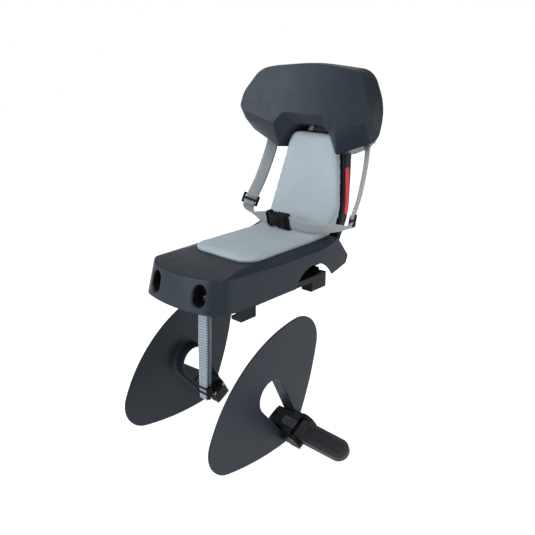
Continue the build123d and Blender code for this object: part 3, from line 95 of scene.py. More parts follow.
bpy.ops.mesh.primitive_plane_add(size=FLOOR_SIZE, location=(0, 0, cad_low.z - FLOOR_GAP))
floor = bpy.context.object
floor.name = "studio_floor"
bpy.ops.object.transform_apply(location=True)
print("camera at", [round(c, 3) for c in CAMERA_PLACE])

# %% [markdown]
# A white studio: a bright wall behind the object, darker sides and a dim ceiling. One strength for the whole
# world would wash out dark plastic, so here it follows the direction of the ray: full towards +Y, and
# falling towards the camera's side and towards the top.

# %% World
DIM = 0.4
WALL_RAYS = (-0.1, 0.4)
CEILING_RAYS = (0.06, 0.5)


def spread(tree, value, low, high, start=0.3, end=0.7):
    """Map a value between start and end onto the range from low to high."""
    node = tree.nodes.new("ShaderNodeMapRange")
    node.inputs["From Min"].default_value = start
    node.inputs["From Max"].default_value = end
    node.inputs["To Min"].default_value = low
    node.inputs["To Max"].default_value = high
    tree.links.new(value, node.inputs["Value"])
    return node.outputs["Result"]


def combine(tree, operation, a, b):
    """One value from two."""
    node = tree.nodes.new("ShaderNodeMath")
    node.operation = operation
    tree.links.new(a, node.inputs[0])
    tree.links.new(b, node.inputs[1])
    return node.outputs[0]


world = bpy.data.worlds.new("studio")
bpy.context.scene.world = world
world.use_nodes = True
sky = world.node_tree
direction = sky.nodes.new("ShaderNodeTexCoord")
ray = sky.nodes.new("ShaderNodeSeparateXYZ")
sky.links.new(direction.outputs["Generated"], ray.inputs[0])
wall = spread(sky, ray.outputs["Y"], DIM, 1.0, *WALL_RAYS)
ceiling = spread(sky, ray.outputs["Z"], 1.0, DIM, *CEILING_RAYS)
background = sky.nodes["Background"]
sky.links.new(combine(sky, "MULTIPLY", wall, ceiling), background.inputs["Strength"])
background.inputs["Color"].default_value = (1, 1, 1, 1)
bpy.context.scene.view_settings.view_transform = "Standard"
print("world: full strength at the wall,", DIM, "at the sides and the ceiling")

# %% [markdown]
# Four softboxes shape the plastic. The one at the front left gives the headrest and the bench's front their
# slow gradient, one above lights the pad, and two weak ones lift the right sides and what faces the camera.
# The floor glows by itself, so that it stays white in spite of the dim world.

# %% Softboxes and the floor's finish
FLOOR_GREY = 0.45
FLOOR_GLOW = 0.92


def softbox(name, place, target, width, height, watts):
    """A rectangular area light that looks at a point."""
    bpy.ops.object.light_add(type="AREA", location=place)
    lamp = bpy.context.object
    lamp.name = name
    lamp.data.shape = "RECTANGLE"
    lamp.data.size = width
    lamp.data.size_y = height
    lamp.data.energy = watts
    lamp.rotation_euler = (Vector(target) - Vector(place)).to_track_quat("-Z", "Y").to_euler()


softbox("softbox_left", (-0.9, -2.0, 0.9), (0, 0, 0.15), width=1.0, height=1.4, watts=37)
softbox("softbox_above", (0.2, -0.6, 2.2), (0, 0, 0.1), width=1.4, height=1.4, watts=24)
softbox("softbox_right", (2.3, 0.5, 0.5), (0, 0, 0.1), width=0.8, height=1.4, watts=9)
softbox("softbox_camera", (1.3, -1.2, 0.9), (0, 0, 0.1), width=0.35, height=1.2, watts=5)

white = bpy.data.materials.new("studio_white")
white.use_nodes = True
shader = white.node_tree.nodes["Principled BSDF"]
shader.inputs["Base Color"].default_value = (FLOOR_GREY, FLOOR_GREY, FLOOR_GREY, 1)
shader.inputs["Roughness"].default_value = 0.9
shader.inputs["Specular IOR Level"].default_value = 0.0
shader.inputs["Emission Color"].default_value = (1, 1, 1, 1)
shader.inputs["Emission Strength"].default_value = FLOOR_GLOW
floor.data.materials.append(white)
print("light: a directional studio gradient and four softboxes")

# %% [markdown]
# Every finish is built from a few node helpers: noise for unevenness, a mix of two colours, and a bump for
# relief. Object coordinates keep a grain at real scale on every piece, because all pieces share one frame.

# %% Material tools
finishes = {}
BEVEL_SAMPLES = 6


def start_material(name):
    """A new node material; returns its tree and shader."""
    mat = bpy.data.materials.new(name)
    mat.use_nodes = True
    finishes[name] = mat
    return mat.node_tree, mat.node_tree.nodes["Principled BSDF"]


def noise(tree, scale, detail=2.0, stretch=None):
    """Noise on object coordinates, features about 1/scale metres; stretch scales the axes."""
    coords = tree.nodes.new("ShaderNodeTexCoord")
    node = tree.nodes.new("ShaderNodeTexNoise")
    node.inputs["Scale"].default_value = scale
    node.inputs["Detail"].default_value = detail
    source = coords.outputs["Object"]
    if stretch:
        mapping = tree.nodes.new("ShaderNodeMapping")
        mapping.inputs["Scale"].default_value = stretch
        tree.links.new(source, mapping.inputs["Vector"])
        source = mapping.outputs["Vector"]
    tree.links.new(source, node.inputs["Vector"])
    return node.outputs["Fac"]


def tint(tree, value, dark, light):
    """A colour between two, chosen by a 0 to 1 value."""
    node = tree.nodes.new("ShaderNodeMix")
    node.data_type = "RGBA"
    node.inputs["A"].default_value = (*dark, 1)
    node.inputs["B"].default_value = (*light, 1)
    tree.links.new(value, node.inputs["Factor"])
    return node.outputs["Result"]


def bump(tree, shader, value, strength, depth, edge=0.0):
    """Relief of a given depth in metres, on edges that catch the light as if rounded by a radius."""
    node = tree.nodes.new("ShaderNodeBump")
    node.inputs["Strength"].default_value = strength
    node.inputs["Distance"].default_value = depth
    tree.links.new(value, node.inputs["Height"])
    tree.links.new(node.outputs["Normal"], shader.inputs["Normal"])
    if edge:
        bevel = tree.nodes.new("ShaderNodeBevel")
        bevel.samples = BEVEL_SAMPLES
        bevel.inputs["Radius"].default_value = edge
        tree.links.new(bevel.outputs["Normal"], node.inputs["Normal"])


print("tools: noise, tint and bump")

# %% [markdown]
# Moulded plastic is never one flat colour. Three noises of different size do the work: a slow one drifts the
# colour, a middle one drifts the roughness, and a fine one is the mould's grain, felt only as bump. The CAD
# edges are sharp, so a bevel node turns the normals near them; the mesh itself isn't rounded. On the
# footrests and their locks, painted shade darkens the colour in the grooves, where a neighbouring surface
# shuts out the sky.

# %% Plastic finishes
COLOR_DRIFT = 0.06
ROUGHNESS_DRIFT = 0.03
SLOW_NOISE = 9.0
MIDDLE_NOISE = 60.0
GRAIN_DEPTH = 0.2 * MM
COOL_GLOSS = (0.82, 0.92, 1, 1)
# painted shade in grooves: ambient occlusion scales the colour between these ranges
CREVICE_SHADE = (0.1, 1.0)
CREVICE_SKY = (0.55, 0.95)


def painted_crevice_shade(tree, color, reach):
    """The colour with painted shade: darker where another surface stands within a reach in metres."""
    open_sky = tree.nodes.new("ShaderNodeAmbientOcclusion")
    open_sky.inputs["Distance"].default_value = reach
    node = tree.nodes.new("ShaderNodeMix")
    node.data_type = "RGBA"
    node.blend_type = "MULTIPLY"
    node.inputs["Factor"].default_value = 1.0
    tree.links.new(color, node.inputs["A"])
    tree.links.new(spread(tree, open_sky.outputs["AO"], *CREVICE_SHADE, *CREVICE_SKY), node.inputs["B"])
    return node.outputs["Result"]


def plastic(name, color, roughness, grain, relief=0.12, gloss=0.25, edge=0.8, painted_shade_reach=0.0):
    """Satin moulded plastic. Edge is the radius of its edges and the last argument the reach of its painted
    shade in the grooves, both in millimetres."""
    tree, shader = start_material(name)
    dark = [c * (1 - COLOR_DRIFT) for c in color]
    light = [c * (1 + COLOR_DRIFT) for c in color]
    slow = spread(tree, noise(tree, SLOW_NOISE), 0.0, 1.0)
    base = tint(tree, slow, dark, light)
    # painted shade: the colour is darkened in grooves, where neighbouring surfaces shut out the light
    if painted_shade_reach:
        base = painted_crevice_shade(tree, base, painted_shade_reach * MM)
    tree.links.new(base, shader.inputs["Base Color"])
    drift = spread(tree, noise(tree, MIDDLE_NOISE), roughness - ROUGHNESS_DRIFT, roughness + ROUGHNESS_DRIFT)
    tree.links.new(drift, shader.inputs["Roughness"])
    shader.inputs["Specular IOR Level"].default_value = gloss
    shader.inputs["Specular Tint"].default_value = COOL_GLOSS
    bump(tree, shader, noise(tree, grain, 3.0), relief, GRAIN_DEPTH, edge * MM)
    return shader


plastic("shell_plastic", (0.0115, 0.0164, 0.0245), roughness=0.42, grain=900, edge=2.2)
plastic("black_plastic", (0.006, 0.006, 0.007), roughness=0.46, grain=1100, gloss=0.18, edge=1.0)
plastic("lock_plastic", (0.05, 0.049, 0.056), roughness=0.5, grain=1100, edge=0.6, painted_shade_reach=2.0)
plastic("footrest_plastic", (0.021, 0.02, 0.024), roughness=0.5, grain=1100, edge=0.8, painted_shade_reach=3.0)
plastic("tread_rubber", (0.016, 0.0155, 0.018), roughness=0.62, grain=700, relief=0.3, edge=0.6, painted_shade_reach=3.0)
red = plastic("red_trim", (0.6, 0.006, 0.01), roughness=0.34, grain=500, relief=0.04, edge=0.3)
red.inputs["Coat Weight"].default_value = 0.15
red.inputs["Coat Roughness"].default_value = 0.15
print("plastics:", sorted(finishes))

# %% [markdown]
# Zinc-plated screws and bars are dull metal. A noise that is stretched along Z gives them fine draw marks,
# and the same noise drives colour, roughness and relief, so that all three agree.

# %% Steel
tree, shader = start_material("steel")
shader.inputs["Metallic"].default_value = 1.0
brushed = noise(tree, 400.0, 3.0, stretch=(1.0, 1.0, 12.0))
tree.links.new(tint(tree, brushed, (0.18, 0.18, 0.19), (0.3, 0.3, 0.32)), shader.inputs["Base Color"])
tree.links.new(spread(tree, brushed, 0.38, 0.52), shader.inputs["Roughness"])
bump(tree, shader, brushed, strength=0.1, depth=0.1 * MM)
print("finishes so far:", len(finishes))

# %% [markdown]
# Fabric scatters light among its fibres, so it gets sheen and little gloss. The pad is a skinned foam with a
# fine pebbled grain.

# %% Pad finish
tree, shader = start_material("pad_foam")
slow = spread(tree, noise(tree, 16.0, 3.0), 0.0, 1.0)
tree.links.new(tint(tree, slow, (0.292, 0.345, 0.384), (0.32, 0.374, 0.412)), shader.inputs["Base Color"])
tree.links.new(spread(tree, noise(tree, 120.0), 0.66, 0.8), shader.inputs["Roughness"])
shader.inputs["Specular IOR Level"].default_value = 0.3
shader.inputs["Sheen Weight"].default_value = 0.12
shader.inputs["Sheen Roughness"].default_value = 0.4
bump(tree, shader, noise(tree, 1300.0, 4.0), strength=0.25, depth=0.3 * MM)
print("pad finish: pad_foam")

# %% [markdown]
# Webbing is drawn on its own UV map, which is laid out in metres: U across the strap and V along it. Two sine
# waves multiplied make over-and-under threads and a folded sine adds upright ribs. The colour follows that
# relief as painted light and shade: the crests are painted lighter and the hollows darker, and a noise
# dims the tone at random.

# %% Webbing finishes
def wave(tree, axis, pitch, sharp=False):
    """A sine along one UV axis with a pitch in metres; sharp folds it into upright ribs."""
    layout = tree.nodes.new("ShaderNodeUVMap")
    split = tree.nodes.new("ShaderNodeSeparateXYZ")
    turns = tree.nodes.new("ShaderNodeMath")
    turns.operation = "MULTIPLY"
    turns.inputs[1].default_value = (1 if sharp else 2) * math.pi / pitch
    sine = tree.nodes.new("ShaderNodeMath")
    sine.operation = "SINE"
    tree.links.new(layout.outputs["UV"], split.inputs[0])
    tree.links.new(split.outputs[axis], turns.inputs[0])
    tree.links.new(turns.outputs[0], sine.inputs[0])
    if not sharp:
        return sine.outputs[0]
    fold = tree.nodes.new("ShaderNodeMath")
    fold.operation = "ABSOLUTE"
    tree.links.new(sine.outputs[0], fold.inputs[0])
    return fold.outputs[0]


def webbing(name, dark, light, across, along, ribs, weave_share=1.0):
    """Woven strap: threads across and along, with upright ribs at a pitch along the strap."""
    tree, shader = start_material(name)
    threads = combine(tree, "MULTIPLY", wave(tree, "X", across), wave(tree, "Y", along))
    weave = spread(tree, threads, 0.0, weave_share, -1, 1)
    rib = wave(tree, "Y", ribs, sharp=True)
    height = combine(tree, "ADD", weave, rib)
    # painted light and shade: the colour is lighter on the crests of the relief and darker in its hollows; the
    # noise below dims it at random
    painted_crest_shade = spread(tree, height, 0.0, 1.0, 0.2, 0.8 + weave_share)
    painted_crest_shade_and_wear = combine(tree, "MULTIPLY", painted_crest_shade, spread(tree, noise(tree, 220.0, 3.0), 0.75, 1.0))
    tree.links.new(tint(tree, painted_crest_shade_and_wear, dark, light), shader.inputs["Base Color"])
    shader.inputs["Roughness"].default_value = 0.72
    shader.inputs["Specular IOR Level"].default_value = 0.3
    shader.inputs["Sheen Weight"].default_value = 0.25
    bump(tree, shader, height, strength=0.7, depth=0.35 * MM)


webbing("harness_webbing", (0.14, 0.16, 0.175), (0.38, 0.415, 0.44),
        across=2.2 * MM, along=1.6 * MM, ribs=3.2 * MM)
webbing("frame_webbing", (0.1, 0.125, 0.15), (0.33, 0.4, 0.48),
        across=2.4 * MM, along=1.7 * MM, ribs=5.4 * MM, weave_share=0.5)
print("fabrics: pad_foam, harness_webbing, frame_webbing")

# %% [markdown]
# Rigid pieces whose shape is already right keep their frame mesh and only change material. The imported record
# says which slot each node takes. The footrests look greyer than the black fittings of the same slot, so
# they get a finish of their own.

# %% Dress the rigid pieces
OWN_FINISH = {"footrest_right": "footrest_plastic", "footrest_left": "footrest_plastic"}
slot_of = {part["node"]: part["material_slot"] for part in frame["record"]["subparts"]}
for name, node in nodes.items():
    node.data.materials.clear()
    node.data.materials.append(finishes[OWN_FINISH.get(name, slot_of[name])])
print("dressed", len(slot_of), "nodes from", len(set(slot_of.values())), "slots")

# %% [markdown]
# The pad starts as a copy of its CAD solid. Its corners are hard, so it is shrunk a little, remeshed into
# even quads and smoothed until no voxel steps are left. That even mesh can then be blown up as cloth.

# %% The pad
PAD_SHRINK = 0.6 * MM
PAD_VOXEL = 3.6 * MM
MERGE = 0.01 * MM


def only(obj):
    """Select one object and make it active, so that an operator works on it alone."""
    bpy.ops.object.select_all(action="DESELECT")
    obj.select_set(True)
    bpy.context.view_layer.objects.active = obj


def copy_of(node, name):
    """A merged copy of a frame node, with clean outward normals."""
    copy = bpy.data.objects.new(name, nodes[node].data.copy())
    bpy.context.collection.objects.link(copy)
    only(copy)
    bpy.ops.object.mode_set(mode="EDIT")
    bpy.ops.mesh.select_all(action="SELECT")
    bpy.ops.mesh.customdata_custom_splitnormals_clear()
    bpy.ops.mesh.remove_doubles(threshold=MERGE)
    bpy.ops.mesh.normals_make_consistent(inside=False)
    bpy.ops.object.mode_set(mode="OBJECT")
    return copy


def relax(obj, times):
    """Even out a mesh so that no voxel steps are left."""
    smooth = obj.modifiers.new("relax", "SMOOTH")
    smooth.factor = 0.5
    smooth.iterations = times
    bpy.ops.object.modifier_apply(modifier=smooth.name)


pad = copy_of("seat_cushion", "seat_pad")
bpy.ops.object.mode_set(mode="EDIT")
bpy.ops.transform.shrink_fatten(value=-PAD_SHRINK)
bpy.ops.object.mode_set(mode="OBJECT")
remesh = pad.modifiers.new("even quads", "REMESH")
remesh.mode = "VOXEL"
remesh.voxel_size = PAD_VOXEL
bpy.ops.object.modifier_apply(modifier=remesh.name)
relax(pad, times=8)
print("pad:", len(pad.data.polygons), "quads")

# %% [markdown]
# Pressure rounds the edges, as foam under a skin does. The underside is pinned, because there the pad lies on
# the shell and the back frame. Free cloth would swell by about 19 mm, far more than firm foam, so each point
# keeps the direction of its move but goes no further than a cap.

# %% Blow up the pad
PAD_CAP = 1.6 * MM
PAD_FRAMES = 20
PAD_PRESSURE = 4.0
PAD_BENDING = 2.0
BACK_LEAN = math.radians(11.5)
FACING = 0.6
TINY = 1e-9


def is_underside(vertex):
    """Whether a point of the pad lies on the shell or on the back frame."""
    backwards = Vector((0, math.cos(BACK_LEAN), -math.sin(BACK_LEAN)))
    return vertex.normal.z < -FACING or vertex.normal.dot(backwards) > FACING


rest_group = pad.vertex_groups.new(name="rests")
rest_group.add([v.index for v in pad.data.vertices if is_underside(v)], 1.0, "REPLACE")
before = [v.co.copy() for v in pad.data.vertices]
cloth = pad.modifiers.new("foam", "CLOTH")
cloth.settings.use_pressure = True
cloth.settings.uniform_pressure_force = PAD_PRESSURE
cloth.settings.effector_weights.gravity = 0.0
cloth.settings.vertex_group_mass = rest_group.name
cloth.settings.bending_stiffness = PAD_BENDING
for step in range(1, PAD_FRAMES + 1):
    bpy.context.scene.frame_set(step)
shaped = pad.evaluated_get(bpy.context.evaluated_depsgraph_get()).data
after = [v.co.copy() for v in shaped.vertices]
pad.modifiers.remove(cloth)
bpy.context.scene.frame_set(1)
for vertex, old, new in zip(pad.data.vertices, before, after):
    move = new - old
    vertex.co = old + move * min(1.0, PAD_CAP / max(move.length, TINY))
swell = max((new - old).length for old, new in zip(before, after))
print("pad swells by up to", round(swell / MM, 1), "mm before the cap")
relax(pad, times=3)

# %% [markdown]
# Everything above the shell's top is pushed out a little, fading in over a few millimetres, so that the pad
# has a soft lip. One level of subdivision makes the surface smooth. The finished pad takes the place of its
# CAD node: it gets that node's finish, and it rides on the seat.

# %% Finish the pad
PAD_LIP = 1.4 * MM
PAD_LIP_RISE = 3.0 * MM
SHELL_TOP = 78.0 * MM


def adopt(piece, body, *replaced):
    """Give a new piece the finish of the node that it replaces, and let it ride on a body."""
    slot = slot_of[replaced[0]]
    piece.data.materials.clear()
    piece.data.materials.append(finishes[slot])
    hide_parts(*replaced)
    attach(piece, body)


for vertex in pad.data.vertices:
    lip = min(1.0, max(0.0, (vertex.co.z - SHELL_TOP) / PAD_LIP_RISE))
    if not is_underside(vertex):
        vertex.co += vertex.normal * PAD_LIP * lip
pad.vertex_groups.clear()
finer = pad.modifiers.new("finer", "SUBSURF")
finer.levels = 1
finer.render_levels = 1
bpy.ops.object.modifier_apply(modifier=finer.name)
bpy.ops.object.shade_smooth()
adopt(pad, "seat", "seat_cushion")
print("pad:", len(pad.data.polygons), "faces")

# %% [markdown]
# A strap is a flat ribbon that follows a line and turns about it. Each stop of the line says where the middle
# of the strap is and which way its width lies; a smooth run passes through all stops. The UV map is laid out
# in metres along the strap, so the weave keeps its size on straps of any length.

# %% Straps: the tools
WEB_WIDTH = 25.0 * MM
WEB_THICK = 1.8 * MM
RIBBON_LANES = 6
RIBBON_STEPS = 8


def smooth_run(stops, steps):
    """Points of a Catmull-Rom curve through the stops."""
    ends = [2 * stops[0] - stops[1], *stops, 2 * stops[-1] - stops[-2]]
    run = []
    for a, b, c, d in zip(ends, ends[1:], ends[2:], ends[3:]):
        for i in range(steps):
            t = i / steps
            run.append((2 * b + (c - a) * t + (2 * a - 5 * b + 4 * c - d) * t ** 2
                        + (3 * b - a - 3 * c + d) * t ** 3) / 2)
    return run + [stops[-1]]


def ribbon(name, stops, width, thick):
    """A strap through (middle, width direction) stops. Returns the object and its flat length."""
    middles = smooth_run([Vector(place) for place, side in stops], RIBBON_STEPS)
    sides = smooth_run([Vector(side).normalized() for place, side in stops], RIBBON_STEPS)
    verts, uvs, length = [], [], 0.0
    for i, middle in enumerate(middles):
        ahead = middles[min(i + 1, len(middles) - 1)] - middles[max(i - 1, 0)]
        side = sides[i] - ahead * sides[i].dot(ahead) / ahead.length_squared
        length += (middle - middles[i - 1]).length if i else 0.0
        for lane in range(RIBBON_LANES + 1):
            across = (lane / RIBBON_LANES - 0.5) * width
            verts.append(middle + side.normalized() * across)
            uvs.append((across + width / 2, length))
    row = RIBBON_LANES + 1
    starts = [i for i in range(len(verts) - row) if i % row < RIBBON_LANES]
    mesh = bpy.data.meshes.new(name)
    mesh.from_pydata(verts, [], [(i, i + 1, i + 1 + row, i + row) for i in starts])
    layout = mesh.uv_layers.new(name="strap")
    for loop in mesh.loops:
        layout.data[loop.index].uv = uvs[loop.vertex_index]
    strap = bpy.data.objects.new(name, mesh)
    bpy.context.collection.objects.link(strap)
    only(strap)
    bpy.ops.object.shade_smooth()
    solid = strap.modifiers.new("thickness", "SOLIDIFY")
    solid.thickness = thick
    solid.offset = 0.0
    return strap, length


print("ribbons:", RIBBON_LANES, "lanes wide,", RIBBON_STEPS, "steps from stop to stop")

# %% [markdown]
# The harness hangs from bars in the headrest. Each shoulder strap runs down to a three-bar slide: over its
# top bar, behind the middle one and over the low one, below which it ends as a short tail. The belt of that
# side starts upright at the buckle, sags and twists on its way, passes under the slide's low bar and ends
# behind it.

# %% Places of the harness
SLIDE = Vector((135, 135, 122)) * MM
ANCHOR = Vector((120, 199, 266)) * MM
BUCKLE = Vector((-12, 87, 107.7)) * MM
BUCKLE_LENGTH = 58.0 * MM
BUCKLE_TILT = math.radians(1)
BUCKLE_LEAN = math.radians(14)
BUCKLE_RUN = Vector((math.cos(BUCKLE_TILT), 0, -math.sin(BUCKLE_TILT)))
FORWARD = Vector((0, -math.cos(BUCKLE_LEAN), -math.sin(BUCKLE_LEAN)))
BUCKLE_UP = BUCKLE_RUN.cross(FORWARD) * -1
WEB_TURN = math.radians(42)
SIDES = ((1, "right"), (-1, "left"))


def slide_frame(side):
    """The slide's place, and its directions along, across and in front of the webbing."""
    flip = Vector((side, 1, 1))
    along = ((ANCHOR - SLIDE) * flip).normalized()
    across = Vector((-math.cos(WEB_TURN), math.sin(WEB_TURN), 0)) * flip
    across = (across - along * across.dot(along)).normalized()
    return SLIDE * flip, along, across, along.cross(across) * side


print("shoulder straps reach", round((ANCHOR - SLIDE).length / MM), "mm from slide to anchor")

# %% [markdown]
# A stop of a shoulder strap is a distance up from the slide and a lift to the front. Distances near the slide
# are counted in rows, the spacing of its bars. Both straps bow towards +X.

# %% Shoulder straps
SLIDE_ROW = 9.25 * MM
WRAP = 3.1 * MM
ANCHOR_GAP = 3.4 * MM
STRAP_BOW = 8.0 * MM
STRAP_LIFT = ((0.7, 1.2 * MM), (0.35, 1.6 * MM))
SLIDE_WEAVE = ((2, 1.8 * MM), (1, WRAP), (0.5, 0), (0, -WRAP), (-0.5, 0), (-1, WRAP), (-1.4, 2.7 * MM))
RIGHT = Vector((1, 0, 0))


def shoulder_stops(side):
    """Stops of a shoulder strap, from the anchor bar to its tail."""
    place, along, across, front = slide_frame(side)
    reach = (ANCHOR - SLIDE).length
    route = [(reach - ANCHOR_GAP, 0)]
    route += [(reach * share, lift) for share, lift in STRAP_LIFT]
    route += [(SLIDE_ROW * rows, lift) for rows, lift in SLIDE_WEAVE]
    stops = []
    for up, lift in route:
        bow = math.sin(math.pi * max(0.0, min(1.0, up / reach))) * STRAP_BOW
        stops.append((place + along * up + front * lift + RIGHT * bow, across))
    return stops


print("shoulder strap:", len(shoulder_stops(1)), "stops")

# %% [markdown]
# A belt leaves the buckle straight, then each step on its way has a share of the span, a sag and a share of
# the twist. The two sides twist at different places, because the picture shows them so.

# %% Belts, and all four straps
BAR_INSET = 5.5 * MM
STRAIGHT = 10 * MM
LOW_ROWS = 1.45
BELT_STEPS = (0.35, 0.6, 0.85)
BELT_SAG = (4.0 * MM, 3.0 * MM, 0.5 * MM)
BELT_TURN = {1: (0.1, 0.25, 0.55), -1: (0.5, 0.75, 0.92)}


def belt_stops(side):
    """Stops of a belt, from the buckle's end to behind the slide's low bar."""
    place, along, across, front = slide_frame(side)
    start = BUCKLE + BUCKLE_RUN * side * (BUCKLE_LENGTH / 2 - BAR_INSET)
    low = place - along * (SLIDE_ROW * LOW_ROWS)
    span = low - start
    lying = across if across.z > 0 else -across
    stops = [(start, BUCKLE_UP), (start + BUCKLE_RUN * side * STRAIGHT, BUCKLE_UP)]
    for t, sag, turn in zip(BELT_STEPS, BELT_SAG, BELT_TURN[side]):
        middle = start + Vector((span.x * t, span.y * t ** 3, span.z * t - sag))
        stops.append((middle, BUCKLE_UP.lerp(lying, turn)))
    stops.append((low, lying))
    stops += [(place - along * SLIDE_ROW * rows - front * WRAP, lying) for rows in (1, 0.5)]
    return stops


for side, word in SIDES:
    strap, length = ribbon(f"shoulder_webbing_{word}", shoulder_stops(side), WEB_WIDTH, WEB_THICK)
    adopt(strap, "headrest", f"shoulder_strap_{word}")
    belt, length = ribbon(f"belt_webbing_{word}", belt_stops(side), WEB_WIDTH, WEB_THICK)
    adopt(belt, "headrest", f"waist_strap_{word}")
    print(word, "belt", round(length / MM), "mm")

# %% [markdown]
# Moulded plates are drawn as flat curves: one closed line for the outside and one for each window. A filled
# 2D curve cuts the windows by itself, extrude gives it thickness and bevel rounds its edges. Converted to a
# mesh, it becomes a clean moulding in a few lines.

# %% Moulded plates: the tools
EDGE = 0.9 * MM
PLATE_MERGE = 0.005 * MM
SMOOTH_ANGLE = math.radians(35)


def rounded(corners, radius, steps=4):
    """A closed line with each corner replaced by a short curve."""
    line = []
    for a, b, c in zip(corners[-1:] + corners[:-1], corners, corners[1:] + corners[:1]):
        a, b, c = Vector(a), Vector(b), Vector(c)
        start = b + (a - b).normalized() * min(radius, (a - b).length / 2)
        end = b + (c - b).normalized() * min(radius, (c - b).length / 2)
        for i in range(steps + 1):
            t = i / steps
            line.append(start.lerp(b, t).lerp(b.lerp(end, t), t))
    return line


def rectangle(x0, x1, y0, y1):
    """Corners of a rectangle."""
    return [(x0, y0), (x1, y0), (x1, y1), (x0, y1)]


def plate(name, outlines, thick, radius):
    """A moulding from closed outlines in millimetres, the first outside and the others windows."""
    curve = bpy.data.curves.new(name, "CURVE")
    curve.dimensions = "2D"
    curve.fill_mode = "BOTH"
    curve.extrude = thick / 2 - EDGE
    curve.bevel_depth = EDGE
    curve.bevel_resolution = 2
    curve.offset = -EDGE
    for outline in outlines:
        line = rounded(outline, radius)
        spline = curve.splines.new("POLY")
        spline.points.add(len(line) - 1)
        for point, place in zip(spline.points, line):
            point.co = (place.x * MM, place.y * MM, 0, 1)
        spline.use_cyclic_u = True
    piece = bpy.data.objects.new(name, curve)
    bpy.context.collection.objects.link(piece)
    only(piece)
    bpy.ops.object.convert(target="MESH")
    return bpy.context.object


def settle(piece, place, across, up, out):
    """Put a plate drawn at the origin in its place, and keep the object itself at the origin."""
    for vertex in piece.data.vertices:
        x, y, z = vertex.co
        vertex.co = place + across * x + up * y + out * z
    only(piece)
    bpy.ops.object.mode_set(mode="EDIT")
    bpy.ops.mesh.select_all(action="SELECT")
    bpy.ops.mesh.remove_doubles(threshold=PLATE_MERGE)
    bpy.ops.mesh.normals_make_consistent(inside=False)
    bpy.ops.object.mode_set(mode="OBJECT")
    bpy.ops.object.shade_smooth_by_angle(angle=SMOOTH_ANGLE)


print("plates: edges rounded by", EDGE / MM, "mm")

# %% [markdown]
# A slide is one plate with two windows for the webbing, which leave three bars. It lies in the plane of its
# shoulder strap, so the strap's own directions settle it.

# %% Slides
SLOT_HALF = 13.2
SLIDE_THICK = 4.0 * MM
slide_outlines = [rectangle(-18.5, 18.5, -11.5, 11.5),
                  rectangle(-SLOT_HALF, SLOT_HALF, 1.75, 7.5),
                  rectangle(-SLOT_HALF, SLOT_HALF, -7.5, -1.75)]
for side, word in SIDES:
    place, along, across, front = slide_frame(side)
    slide = plate(f"slide_{word}", slide_outlines, SLIDE_THICK, radius=3.0)
    settle(slide, place, across, along, front)
    adopt(slide, "headrest", f"strap_slider_{word}")
print("slides: two")

# %% [markdown]
# The side-release buckle is a sandwich. Two cover plates with a raised ridge and an end bar make the socket.
# The plug's prongs and tongue lie between the covers, and the prongs bulge out through the finger notches.
# Both halves end in a bar for the webbing.

# %% Buckle: the socket
COVER_THICK = 2.8
COVER_SHIFT = 4.1
COVER_CORNER = 2.2


def mirrored(half):
    """A closed outline from its upper half, listed from right to left."""
    return half + [(x, -y) for x, y in reversed(half)]


def layer(name, outlines, thick, radius, shift=0.0):
    """One plate of the buckle, with its thickness and its shift to the front in millimetres."""
    piece = plate(name, outlines, thick * MM, radius)
    settle(piece, BUCKLE + FORWARD * shift * MM, BUCKLE_RUN, BUCKLE_UP, FORWARD)
    return piece


def join(target, *others):
    """Join pieces of one moulding."""
    only(target)
    for other in others:
        other.select_set(True)
    bpy.ops.object.join()


cover = mirrored([(5, 14.5), (2, 17), (0.5, 17), (-2, 12.2), (-13, 12.2), (-16, 17), (-24.5, 17), (-29, 13)])
slot = rectangle(-25.8, -21.6, -SLOT_HALF, SLOT_HALF)
socket = layer("buckle_body", [cover, slot], COVER_THICK, COVER_CORNER, COVER_SHIFT)
ridge = layer("buckle_ridge", [rectangle(-17, 0, -6, 6)], 2.2, 3.0, 5.0)
back_cover = layer("buckle_back", [cover, slot], COVER_THICK, COVER_CORNER, -COVER_SHIFT)
end = layer("buckle_end", [rectangle(-29, -19.5, -16, 16), slot], 6.4, COVER_CORNER)
join(socket, ridge, back_cover, end)
adopt(socket, "headrest", "buckle_socket")
print("socket:", len(socket.data.polygons), "faces")

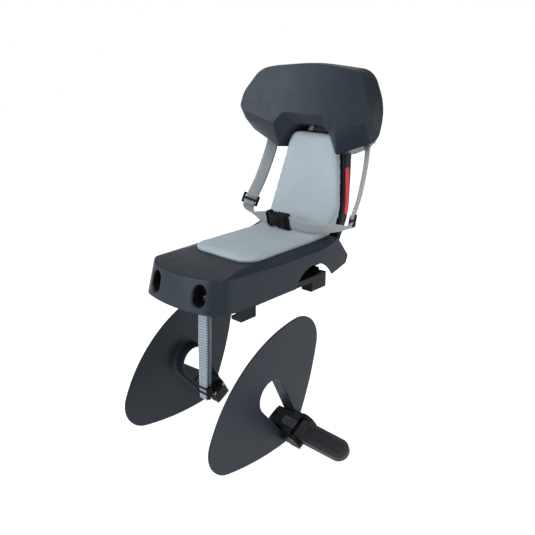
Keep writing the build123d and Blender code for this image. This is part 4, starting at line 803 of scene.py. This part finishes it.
# %% Buckle: the plug
PRONG_THICK = 5.0
PRONG_CORNER = 1.6
prong = [(7, 14.5), (2, 14.6), (-2.5, 16.9), (-9, 16.6), (-14, 13.6),
         (-18, 12.5), (-18, 9.6), (-9, 9.6), (7, 8.2)]
grip = [rectangle(5.5, 29, -17, 17), rectangle(21.6, 25.8, -SLOT_HALF, SLOT_HALF)]
plug = layer("buckle_prong_plug", grip, 10.5, 2.6)
upper = layer("prong_upper", [prong], PRONG_THICK, PRONG_CORNER)
lower = layer("prong_lower", [[(x, -y) for x, y in prong]], PRONG_THICK, PRONG_CORNER)
tongue = layer("tongue", [rectangle(-13, 7, -2, 2)], 4.4, 1.2)
join(plug, upper, lower, tongue)
adopt(plug, "headrest", "buckle_plug")
print("plug:", len(plug.data.polygons), "faces")

# %% [markdown]
# The safety strap is one long loop: over the pin in the base, down, round the ladder lock's low bar and up
# again. It is the same ribbon with other stops, turned a little between the two bars as in the picture.

# %% Safety strap
BELT_WIDTH = 20.0 * MM
BELT_THICK = 1.6 * MM
PIN = Vector((0, -132, 8)) * MM
LOW = Vector((0, -140, -196)) * MM
PIN_WRAP = 5.3 * MM
LOW_WRAP = 3.8 * MM
STRAP_TWIST = math.radians(16)
UPWARDS = (0.15, 0.5, 0.85)


def round_bar(bar, radius, degrees):
    """Stops on an arc round a bar that lies along X; 0 degrees is in front and 90 above."""
    turns = [math.radians(a) for a in degrees]
    return [bar + Vector((0, -math.cos(a), math.sin(a))) * radius for a in turns]


def between(shares, facing):
    """Stops between the low bar and the pin, in front of both (-1) or behind them (1)."""
    wraps = [LOW_WRAP + (PIN_WRAP - LOW_WRAP) * t for t in shares]
    return [LOW.lerp(PIN, t) + Vector((0, facing * wrap, 0)) for t, wrap in zip(shares, wraps)]


def twisted(place):
    """The strap's width direction: along the bars at both ends, turned a little between them."""
    share = min(1.0, max(0.0, (place.z - LOW.z) / (PIN.z - LOW.z)))
    turn = STRAP_TWIST * math.sin(math.pi * share)
    return Vector((math.cos(turn), math.sin(turn), 0))


route = round_bar(LOW, LOW_WRAP, (-135, -90, -45, 0))
route += between(UPWARDS, -1)
route += round_bar(PIN, PIN_WRAP, (0, 45, 90, 135, 180))
route += between(UPWARDS[::-1], 1)
route += round_bar(LOW, LOW_WRAP, (-180, -140))
strap, length = ribbon("frame_strap", [(place, twisted(place)) for place in route], BELT_WIDTH, BELT_THICK)
adopt(strap, "seat", "safety_strap")
print("safety strap:", round(length / MM), "mm")
